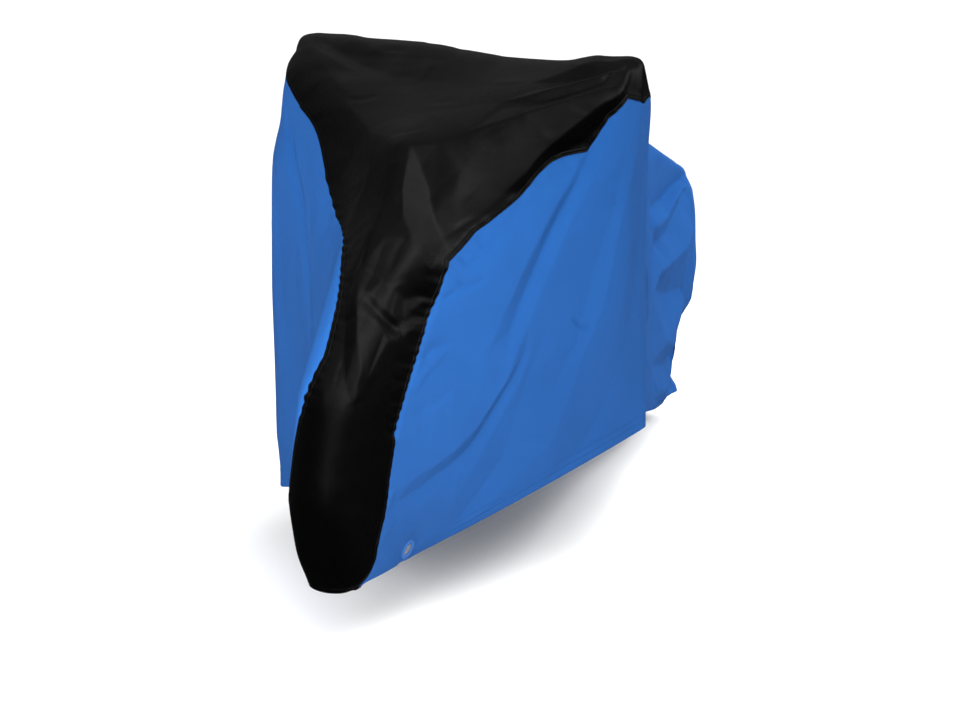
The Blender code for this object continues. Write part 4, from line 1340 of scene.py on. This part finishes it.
@dataclass(kw_only=True)
class SidePanel(Panel):
    """Blue panel of one side: seam at the top and front, hem all along the bottom, eyelet at the front."""

    side: Side
    name: str = field(init=False)
    nodes: tuple[str, ...] = field(init=False)
    slot: str = "blue_cloth"
    rows: tuple[Place, ...] = ((0.006, 0.0), (1.200, 0.0037), (2.050, 0.0050), (2.960, 0.0068))
    lap: float = 0.010              # how far it runs on past the seam, under the black panel
    body_columns: int = 118
    near_seam: tuple[float, ...] = (0.002, 0.0045, 0.0075, 0.011, 0.015, 0.0195, 0.024, 0.029, 0.034,
                                    0.040, 0.046, 0.053)
    under_seam: tuple[float, ...] = (lap, 0.006, 0.0025)
    seam_drop: float = 0.0012       # how far it lies under the face at the seam; twice as far at the nose
    drop_ends: Place = (-0.001, 0.006)      # it comes up between these distances from the seam,
    nose_spread: float = 0.010      # and this much later at the nose
    raised_ends: Place = (0.004, 0.016)     # behind the saddle the left one goes down between these
    hem: Turning = Turning(radius=0.0008, band=0.018)
    near_hem: tuple[float, ...] = (hem.band, 0.010, 0.005, 0.0)
    least_body: float = 0.02        # width that stays between the seam's columns and the hem's
    hem_share: float = 0.8          # the turned hem is at most this share of the width
    tail: Turning = Turning(radius=0.0018, band=0.016)
    nose_rows: Place = (0.030, 0.070)       # the edge lies deeper in front of these places
    back_rows: Place = (1.985, 2.000)       # the edges change over here, behind the black panel

    def __post_init__(self) -> None:
        """Name the panel and its nodes after its side."""
        word = self.side.word
        self.name = "side_cloth_" + word
        parts = ("front", "saddle", "tail")
        self.nodes = ("eyelet_corner_" + word, *(f"side_panel_{word}_{part}" for part in parts))

    def grid(self, face: DrapedFace) -> SheetGrid:
        """Grid from the edge under the black panel to the turned hem.

        Args:
            face: The draped face.

        Returns:
            The grid.
        """
        along = row_places(self.rows)
        sign = self.side.value
        hem = np.full(len(along), float(sign))
        across, walked = face.walked(along, seam_places(along, self.side), hem)
        width = walked[:, -1:]
        near = np.array([0.0, *self.near_seam])
        shrink = np.minimum(1.0, width / (near[-1] + self.hem.band + self.least_body))
        near = near * shrink
        last = width - shrink * np.array(self.near_hem)
        share = np.linspace(0, 1, self.body_columns + 1)[1:-1]
        body = near[:, -1:] + share * (last[:, :1] - near[:, -1:])
        distance = np.concatenate([near, body, last], axis=1)
        columns = np.array([np.interp(distance[row], walked[row], across[row]) for row in range(len(along))])
        under = np.array(self.under_seam)
        stretch = face.stretch(along, columns[:, 0])[:, None]
        columns = np.concatenate([columns[:, :1] - sign * under / stretch, columns], axis=1)
        distance = np.concatenate([np.repeat(-under[None], len(along), axis=0), distance], axis=1)
        lift = self._seam_lift(along[:, None], distance)
        back, below, beyond = self.hem.steps()
        back = np.minimum(back, self.hem_share * width)
        stretch = face.stretch(along, hem)[:, None]
        columns = np.concatenate([columns, hem[:, None] - sign * back / stretch], axis=1)
        distance = np.concatenate([distance, width + back + below], axis=1)
        lift = np.concatenate([lift, np.repeat(-below[None], len(along), axis=0)], axis=1)
        outward = np.zeros(columns.shape)
        outward[:, -len(beyond):] = sign * beyond
        grid = SheetGrid(np.repeat(along[:, None], columns.shape[1], axis=1), np.clip(columns, -1, 1), lift,
                         outward, np.zeros(columns.shape), distance, np.abs(width - distance))
        return grid.with_turned_hem(self.tail, -1)

    def _seam_lift(self, along: np.ndarray, distance: np.ndarray) -> np.ndarray:
        """Height of the edge: low under the black panel, and the left over the right behind the saddle.

        Args:
            along: Places along.
            distance: Distances from the seam.

        Returns:
            How far the panel lies above the face.
        """
        nose = 1 - eased(along, *self.nose_rows)
        first, last = self.drop_ends
        low = -self.seam_drop * (1 + nose) * (1 - eased(distance, first, last + self.nose_spread * nose))
        if self.side is Side.RIGHT:
            return low
        high = BACK_LIFT * (1 - eased(distance, *self.raised_ends))
        share = eased(along, *self.back_rows)
        return low * (1 - share) + high * share

    def build(self, face: DrapedFace, eyelet: "Eyelet") -> bpy.types.Object:
        """Build the panel with the hole that its eyelet is pressed into.

        Args:
            face: The draped face.
            eyelet: The eyelet.

        Returns:
            The piece.
        """
        grid = self.grid(face)
        points = grid.points(face)
        cells = quad_corners(*points.shape[:2], outwards=self.side is Side.LEFT).reshape(-1, 4)
        listed = points.reshape(-1, 3)
        taken = eyelet.covers(listed[cells].mean(axis=1))
        rim = np.intersect1d(cells[taken], cells[~taken])
        listed[rim] = eyelet.drawn_to_hole(listed[rim])
        piece = self.add_sheet(grid, points, cells[~taken], sheet_area(points))
        piece.visible_glossy = False    # the gloss of the black panel doesn't mirror the blue one
        return piece


@dataclass(kw_only=True)
class CenterPanel(Panel):
    """Black panel from the nose hem over the bar and the saddle to its point behind the saddle."""

    name: str = "center_cloth"
    nodes: tuple[str, ...] = ("center_panel_front", "center_panel_bar", "center_panel_saddle")
    slot: str = "black_cloth"
    rows: tuple[Place, ...] = ((0.0, 0.0), (1.300, 0.0034), (1.988, 0.0048))
    body_columns: int = 146
    near_seam: tuple[float, ...] = (0.0015, 0.0035, 0.006, 0.009, 0.0125, 0.0165, 0.021, 0.026)
    lift_ends: Place = (0.006, 0.020)       # it comes down to the face between these from the seam
    seam_edge: Turning = Turning(radius=0.0007, band=0.009, band_steps=2)
    edge_share: float = 0.4         # each edge's columns and its turning take at most this share of the width
    nose: Turning = Turning(radius=0.0016, band=0.016)

    def grid(self, face: DrapedFace) -> SheetGrid:
        """Grid from the right seam's turned edge to the left one's.

        Args:
            face: The draped face.

        Returns:
            The grid.
        """
        along = row_places(self.rows)
        right, left = seam_places(along, Side.RIGHT), seam_places(along, Side.LEFT)
        across, walked = face.walked(along, right, left)
        width = walked[:, -1:]
        near = np.array([0.0, *self.near_seam])
        near = near * np.minimum(1.0, self.edge_share * width / near[-1])
        far = width - near[:, ::-1]
        share = np.linspace(0, 1, self.body_columns + 1)[1:-1]
        body = near[:, -1:] + share * (far[:, :1] - near[:, -1:])
        distance = np.concatenate([near, body, far], axis=1)
        columns = np.array([np.interp(distance[row], walked[row], across[row]) for row in range(len(along))])
        edge = np.minimum(distance, width - distance)
        lift = SEAM_LIFT * (1 - eased(edge, *self.lift_ends))
        back, below, beyond = self.seam_edge.steps()
        back = np.minimum(back, self.edge_share * width)
        turned_right = right[:, None] + back / face.stretch(along, right)[:, None]
        turned_left = left[:, None] - back / face.stretch(along, left)[:, None]
        columns = np.concatenate([turned_right[:, ::-1], columns, turned_left], axis=1)
        turned_lift = np.repeat((SEAM_LIFT - below)[None], len(along), axis=0)
        lift = np.concatenate([turned_lift[:, ::-1], lift, turned_lift], axis=1)
        outward = np.zeros(columns.shape)
        outward[:, :len(beyond)] = -beyond[::-1]
        outward[:, -len(beyond):] = beyond
        turned = back + below
        distance = np.concatenate([-turned[:, ::-1], distance, width + turned], axis=1)
        edge = np.concatenate([turned[:, ::-1], edge, turned], axis=1)
        grid = SheetGrid(np.repeat(along[:, None], columns.shape[1], axis=1), np.clip(columns, -1, 1), lift,
                         outward, np.zeros(columns.shape), distance, edge)
        return grid.with_turned_hem(self.nose, 0)

    def build(self, face: DrapedFace) -> bpy.types.Object:
        """Build the panel.

        Args:
            face: The draped face.

        Returns:
            The piece.
        """
        grid = self.grid(face)
        points = grid.points(face)
        cells = quad_corners(*points.shape[:2], outwards=True).reshape(-1, 4)
        return self.add_sheet(grid, points, cells, sheet_area(points))


@dataclass
class Eyelet:
    """Pressed eyelet: two rounded flanges and a barrel, turned round the hole in the cloth."""

    side: Side
    face: DrapedFace
    finish: Finish
    bore: float = 0.0120
    flange: float = 0.0200
    reach: float = 0.0020           # how far the flanges stand off the cloth's middle
    hole: float = 0.0140
    round_about: float = 0.032      # how far round the hole the cloth's slope is averaged,
    same_way: float = 0.5           # over cloth that faces the hole's way (cosine)
    cut_radius: float = 0.0158      # cells whose middle lies inside this are cut out of the cloth
    cut_height: float = 0.01        # and only if they are as near as this to its plane
    level_radius: float = 0.022     # the cloth is laid level inside this radius,
    free_radius: float = 0.045      # and stays as it was beyond this one
    bead_power: float = 0.7         # below 1 the flange's round is fuller than a half circle
    bead_steps: int = 13
    segments: int = 72

    def __post_init__(self) -> None:
        """Find the eyelet's place on the face, and lay the cloth level round it."""
        face = self.face
        low, high = (np.array(corner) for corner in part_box("eyelet_" + self.side.word))
        row, column = self._nearest((low + high) / 2)
        place, normal = face.points[row, column], face.normals[row, column]
        around = np.linalg.norm(face.points - place, axis=2) < self.round_about
        facing = face.normals @ normal > self.same_way
        self.normal = unit(face.normals[around & facing].mean(axis=0))
        self.middle = place - self.normal * Panel.thickness / 2
        self.level = unit(np.cross((0.0, 0.0, 1.0), self.normal))
        self.rise = np.cross(self.normal, self.level)
        face.flatten(place, self.normal, self.level_radius, self.free_radius)

    def _nearest(self, place: np.ndarray) -> tuple[int, int]:
        """Row and column of the face's point nearest to a place."""
        gap = np.linalg.norm(self.face.points - place, axis=2)
        return np.unravel_index(np.argmin(gap), gap.shape)

    def _flat(self, points: np.ndarray) -> tuple[np.ndarray, np.ndarray, np.ndarray]:
        """Places of points in the eyelet's plane and above it."""
        away = points - self.middle
        return away @ self.level, away @ self.rise, away @ self.normal

    def covers(self, points: np.ndarray) -> np.ndarray:
        """Whether the middles of cells lie where the cloth is cut out."""
        level, rise, height = self._flat(points)
        return (np.hypot(level, rise) < self.cut_radius) & (np.abs(height) < self.cut_height)

    def drawn_to_hole(self, points: np.ndarray) -> np.ndarray:
        """Draw points in the cloth's plane onto the rim of the hole.

        Args:
            points: The points, N x 3.

        Returns:
            The drawn points.
        """
        level, rise, height = self._flat(points)
        scale = self.hole / np.hypot(level, rise)
        return (self.middle + (level * scale)[:, None] * self.level + (rise * scale)[:, None] * self.rise
                + height[:, None] * self.normal)

    def profile(self) -> np.ndarray:
        """Closed profile: a bead with a flat foot, above and below the cloth.

        Returns:
            Pairs of radius and height.
        """
        angle = np.linspace(0, math.pi, self.bead_steps)
        half = (self.flange - self.bore) / 2
        middle = self.bore + half
        foot = Panel.thickness / 2
        upper = np.stack([middle + half * np.cos(angle),
                          foot + (self.reach - foot) * np.sin(angle) ** self.bead_power], axis=1)
        return np.concatenate([upper, upper[::-1] * (1, -1)])

    def build(self) -> bpy.types.Object:
        """Build the eyelet: its profile turned round the middle of the hole.

        Returns:
            The piece.
        """
        profile = self.profile()
        turn = np.arange(self.segments) * math.tau / self.segments
        ring = np.cos(turn)[:, None] * self.level + np.sin(turn)[:, None] * self.rise
        points = (self.middle + profile[None, :, :1] * ring[:, None, :]
                  + profile[None, :, 1:] * self.normal)
        count = len(profile)
        number = np.arange(self.segments * count).reshape(self.segments, count)
        after = np.roll(number, -1, axis=0)
        faces = np.stack([number, after, np.roll(after, -1, axis=1), np.roll(number, -1, axis=1)], axis=2)
        faces = faces.reshape(-1, 4)
        piece = new_piece("lock_eyelet_" + self.side.word, points, faces.tolist(), self.finish)
        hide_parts("eyelet_" + self.side.word)
        log.info("%s: %d faces", piece.name, len(faces))
        return piece


@dataclass
class StitchLine:
    """A line of stitches on the cloth: places along and across, and how far the cloth is lifted there."""

    along: np.ndarray
    across: np.ndarray
    lift: float


@dataclass
class Stitches:
    """Every stitch of one thread, as small grains that lie on the cloth."""

    name: str
    slot: str
    finish: Finish
    pitch: float = 0.0042
    length: float = 0.0031
    radius: float = 0.00042
    sides: int = 5
    shoulders: float = 0.34         # where a stitch reaches its full radius, as a share of its length
    raised: float = 0.4             # how far its middle stands over the cloth, as a share of its radius
    points: list[np.ndarray] = field(default_factory=list)

    def sew(self, face: DrapedFace, line: StitchLine) -> None:
        """Lay one line of stitches at an even pitch.

        Args:
            face: The draped face.
            line: The line.
        """
        path = face.read(face.points, line.along, line.across)
        walked = np.concatenate([[0.0], np.cumsum(np.linalg.norm(np.diff(path, axis=0), axis=1))])
        middles = np.arange(self.pitch / 2, walked[-1], self.pitch)
        along, across = (np.interp(middles, walked, places) for places in (line.along, line.across))
        place = face.read(face.points, along, across)
        normal = unit(face.read(face.normals, along, across))
        run = unit(np.gradient(place, axis=0))
        aside = unit(np.cross(normal, run))
        turn = np.arange(self.sides) * math.tau / self.sides
        rings = [(-0.5, 0.0), (-self.shoulders, 1.0), (self.shoulders, 1.0), (0.5, 0.0)]
        grain = np.array([(share, size * math.cos(angle), size * math.sin(angle))
                          for share, size in rings for angle in (turn if size else turn[:1])])
        base = place + normal * (line.lift + self.raised * self.radius)
        points = (base[:, None] + grain[None, :, :1] * self.length * run[:, None]
                  + grain[None, :, 1:2] * self.radius * aside[:, None]
                  + grain[None, :, 2:] * self.radius * normal[:, None])
        self.points.append(points)

    def build(self) -> bpy.types.Object:
        """Join the stitches into one piece.

        Returns:
            The piece.
        """
        points = np.concatenate(self.points)
        sides = self.sides
        first = [(0, 1 + (step + 1) % sides, 1 + step) for step in range(sides)]
        walls = [(1 + step, 1 + (step + 1) % sides, 1 + sides + (step + 1) % sides, 1 + sides + step)
                 for step in range(sides)]
        last = [(1 + 2 * sides, 1 + sides + step, 1 + sides + (step + 1) % sides) for step in range(sides)]
        offsets = np.arange(len(points))[:, None, None] * points.shape[1]
        triangles = (np.array(first + last)[None] + offsets).reshape(-1, 3)
        quads = (np.array(walls)[None] + offsets).reshape(-1, 4)
        piece = new_piece(self.name, points, triangles.tolist() + quads.tolist(), self.finish)
        log.info("%s: %d stitches", self.name, len(points))
        return piece


def line_beside(face: DrapedFace, along: np.ndarray, edge: np.ndarray, towards: float,
                distance: float, lift: float) -> StitchLine:
    """Line of stitches at a distance beside an edge.

    Args:
        face: The draped face.
        along: Places along.
        edge: Where the edge lies across at those places.
        towards: Sign of the direction across in which the stitches lie.
        distance: How far they lie from the edge, in metres.
        lift: How far the cloth is lifted there.

    Returns:
        The line.
    """
    return StitchLine(along, np.clip(edge + towards * distance / face.stretch(along, edge), -1, 1), lift)


# runs of stitches: first and last place, along (or across, at the tail and the nose), and points to draw it
SEAM_RUN = (0.012, 1.93, 800)
HEM_RUN = (0.055, 2.945, 1200)
BACK_RUN = (2.004, 2.945, 500)
TAIL_RUN = (0.02, 0.98, 60)
NOSE_RUN = (-0.90, 0.90, 120)


def sew_all(face: DrapedFace, black: Stitches, blue: Stitches) -> None:
    """Sew both seams, the hems and the seam behind the saddle.

    The hem's stitches start behind the nose, where the blue panels are wide enough for them.

    Args:
        face: The draped face.
        black: Thread on the black panel.
        blue: Thread on the blue panels.
    """
    seam_rows, hem_rows, back_rows = (np.linspace(*run) for run in (SEAM_RUN, HEM_RUN, BACK_RUN))
    for side in Side:
        sign = side.value
        seam = seam_places(seam_rows, side)
        for distance in SEAM_STITCHES:
            black.sew(face, line_beside(face, seam_rows, seam, -sign, distance, SEAM_LIFT))
        hem = np.full(len(hem_rows), float(sign))
        blue.sew(face, line_beside(face, hem_rows, hem, -sign, HEM_STITCHES, 0.0))
        tail = np.linspace(*TAIL_RUN) * sign
        blue.sew(face, StitchLine(np.full(len(tail), SECTIONS[-1].along - END_STITCHES), tail, 0.0))
    nose = np.linspace(*NOSE_RUN)
    black.sew(face, StitchLine(np.full(len(nose), END_STITCHES), nose, 0.0))
    for distance in SEAM_STITCHES:
        blue.sew(face, line_beside(face, back_rows, np.zeros(len(back_rows)), +1.0, distance, BACK_LIFT))


# ---- studio --------------------------------------------------------------------------------------


@dataclass(frozen=True)
class Sun:
    """Far light with soft shadows: where it shines from, its strength and how wide it looks."""

    name: str
    shines_from: Point
    strength: float
    width: float

    def add(self) -> None:
        """Put the light into the scene."""
        data = bpy.data.lights.new(self.name, "SUN")
        data.energy = self.strength
        data.angle = math.radians(self.width)
        lamp = bpy.data.objects.new(self.name, data)
        bpy.context.scene.collection.objects.link(lamp)
        lamp.location = self.shines_from
        aim(lamp, (0.0, 0.0, 0.0))
        lamp.visible_glossy = False


class SkyPatch(NamedTuple):
    """Soft bright patch that the gloss of the cloth mirrors.

    Attributes:
        direction: Way towards its middle.
        narrowness: Power of the cosine from that way; higher is smaller.
        strength: Brightness at its middle.
    """

    direction: Point
    narrowness: float
    strength: float


@dataclass(frozen=True)
class SoftBox:
    """Square light: its place, what it faces, its power in watts and the length of its sides."""

    name: str
    place: Point
    target: Point
    power: float
    size: float

    def add(self) -> None:
        """Put the light into the scene, unseen in mirrored views."""
        data = bpy.data.lights.new(self.name, "AREA")
        data.energy = self.power
        data.size = self.size
        lamp = bpy.data.objects.new(self.name, data)
        bpy.context.scene.collection.objects.link(lamp)
        lamp.location = self.place
        aim(lamp, self.target)
        lamp.visible_camera = False
        lamp.visible_glossy = False


def aim(thing: bpy.types.Object, target: Point) -> None:
    """Turn a light or camera to look at a place."""
    way = Vector(target) - thing.location
    thing.rotation_euler = way.to_track_quat("-Z", "Y").to_euler()


SKY_EVEN = 0.55             # strength of the even light from all round
SKY_DIM = 0.02              # what the gloss mirrors between the patches
SKY_PATCHES = (
    SkyPatch((-0.28, 0.74, 0.61), 28.0, 8.8),
    SkyPatch((0.40, 0.75, 0.53), 38.0, 5.2),
    SkyPatch((-0.62, 0.75, 0.25), 12.0, 0.4),
    SkyPatch((0.25, 0.02, 0.97), 16.0, 1.3),
    SkyPatch((-0.50, -0.35, 0.79), 5.0, 0.50),
    SkyPatch((0.00, -0.93, 0.37), 6.0, 0.15),
)
SUN = Sun("high", (-0.24, 0.32, 0.92), 2.5, 45.0)
SOFT_BOXES = (
    SoftBox("front_box", (1.370, 0.500, -0.150), (0.10, 0.15, -0.55), 26.0, 0.9),
    SoftBox("right_box", (0.900, -1.800, 0.100), (0.00, -0.20, -0.40), 22.0, 1.2),
    SoftBox("back_box", (-1.450, 1.050, 0.300), (-0.95, 0.05, -0.50), 17.0, 0.4),
)
FLOOR_FINISH = Finish("floor", (0.92, 0.92, 0.92), 0.9)
FLOOR_HALF = 30.0
CAMERA_PLACE = (3.213, 1.853, 0.619)
CAMERA_TARGET = (0.010, 0.004, -0.618)
CAMERA_LENS = 71.25


def add_sky() -> None:
    """Even light from all round; gloss mirrors soft bright patches, and the camera sees plain white."""
    world = bpy.data.worlds.new("studio")
    world.use_nodes = True
    tree = world.node_tree
    background = tree.nodes["Background"]
    background.inputs["Color"].default_value = (1.0, 1.0, 1.0, 1.0)
    view = new_node(tree, "ShaderNodeTexCoord").outputs["Generated"]
    ray = new_node(tree, "ShaderNodeLightPath")
    mirrored = SKY_DIM
    for patch in SKY_PATCHES:
        towards = new_node(tree, "ShaderNodeVectorMath")
        towards.operation = "DOT_PRODUCT"
        towards.inputs[1].default_value = Vector(patch.direction).normalized()
        tree.links.new(view, towards.inputs[0])
        cosine = math_node(tree, "MAXIMUM", towards.outputs["Value"], 0.0)
        share = math_node(tree, "POWER", cosine, patch.narrowness)
        mirrored = math_node(tree, "ADD", math_node(tree, "MULTIPLY", share, patch.strength), mirrored)
    even = math_node(tree, "MULTIPLY", ray.outputs["Is Diffuse Ray"], SKY_EVEN)
    glossy = math_node(tree, "MULTIPLY", mirrored, ray.outputs["Is Glossy Ray"])
    lit = math_node(tree, "ADD", even, glossy)
    tree.links.new(math_node(tree, "ADD", lit, ray.outputs["Is Camera Ray"]), background.inputs["Strength"])
    bpy.context.scene.world = world


def add_floor() -> None:
    """Pale floor at the height of the ground, unseen in mirrored views."""
    ground = -ORIGIN[2]
    corners = [(x * FLOOR_HALF, y * FLOOR_HALF, ground) for x, y in ((-1, -1), (1, -1), (1, 1), (-1, 1))]
    mesh = bpy.data.meshes.new("floor")
    mesh.from_pydata(corners, [], [(0, 1, 2, 3)])
    mesh.materials.append(FLOOR_FINISH.material())
    floor = bpy.data.objects.new("floor", mesh)
    bpy.context.scene.collection.objects.link(floor)
    floor.visible_glossy = False


def add_camera() -> None:
    """Camera in front of the cover, on its left and a little above the bar."""
    data = bpy.data.cameras.new("camera")
    data.lens = CAMERA_LENS
    camera = bpy.data.objects.new("camera", data)
    bpy.context.scene.collection.objects.link(camera)
    camera.location = CAMERA_PLACE
    aim(camera, CAMERA_TARGET)
    bpy.context.scene.camera = camera


def add_studio() -> None:
    """Floor, even light from all round, one high sun, three soft boxes and the camera."""
    add_floor()
    add_sky()
    SUN.add()
    for box in SOFT_BOXES:
        box.add()
    bpy.context.scene.view_settings.view_transform = "Standard"
    add_camera()


BLUE_CLOTH = ClothFinish("blue_polyester", (0.0120, 0.0715, 0.248), 0.55, specular=0.08, crumple=0.25,
                         stitch_lines=(HEM_STITCHES,))
BLACK_CLOTH = ClothFinish("black_polyester", (0.0005, 0.0005, 0.00055), 0.28, specular=0.11, crumple=0.55,
                          stitch_lines=SEAM_STITCHES)
EYELET_PLASTIC = Finish("eyelet_plastic", (0.020, 0.098, 0.330), 0.45)
BLUE_THREAD = Finish("blue_thread", (0.0095, 0.066, 0.240), 0.6)
BLACK_THREAD = Finish("black_thread", (0.005, 0.005, 0.0055), 0.6)


def main() -> None:
    """Build the cover's looks in order, then the studio."""
    logging.basicConfig(level=logging.INFO, format="%(name)s %(message)s")
    face = DrapedFace()
    log.info("draped face worked out")
    eyelets = {side: Eyelet(side, face, EYELET_PLASTIC) for side in Side}
    CenterPanel(finish=BLACK_CLOTH).build(face)
    for side in Side:
        SidePanel(side=side, finish=BLUE_CLOTH).build(face, eyelets[side])
        eyelets[side].build()
    black = Stitches("black_stitches", "black_cloth", BLACK_THREAD)
    blue = Stitches("blue_stitches", "blue_cloth", BLUE_THREAD)
    sew_all(face, black, blue)
    black.build()
    blue.build()
    add_studio()


if __name__ == "__main__":
    main()
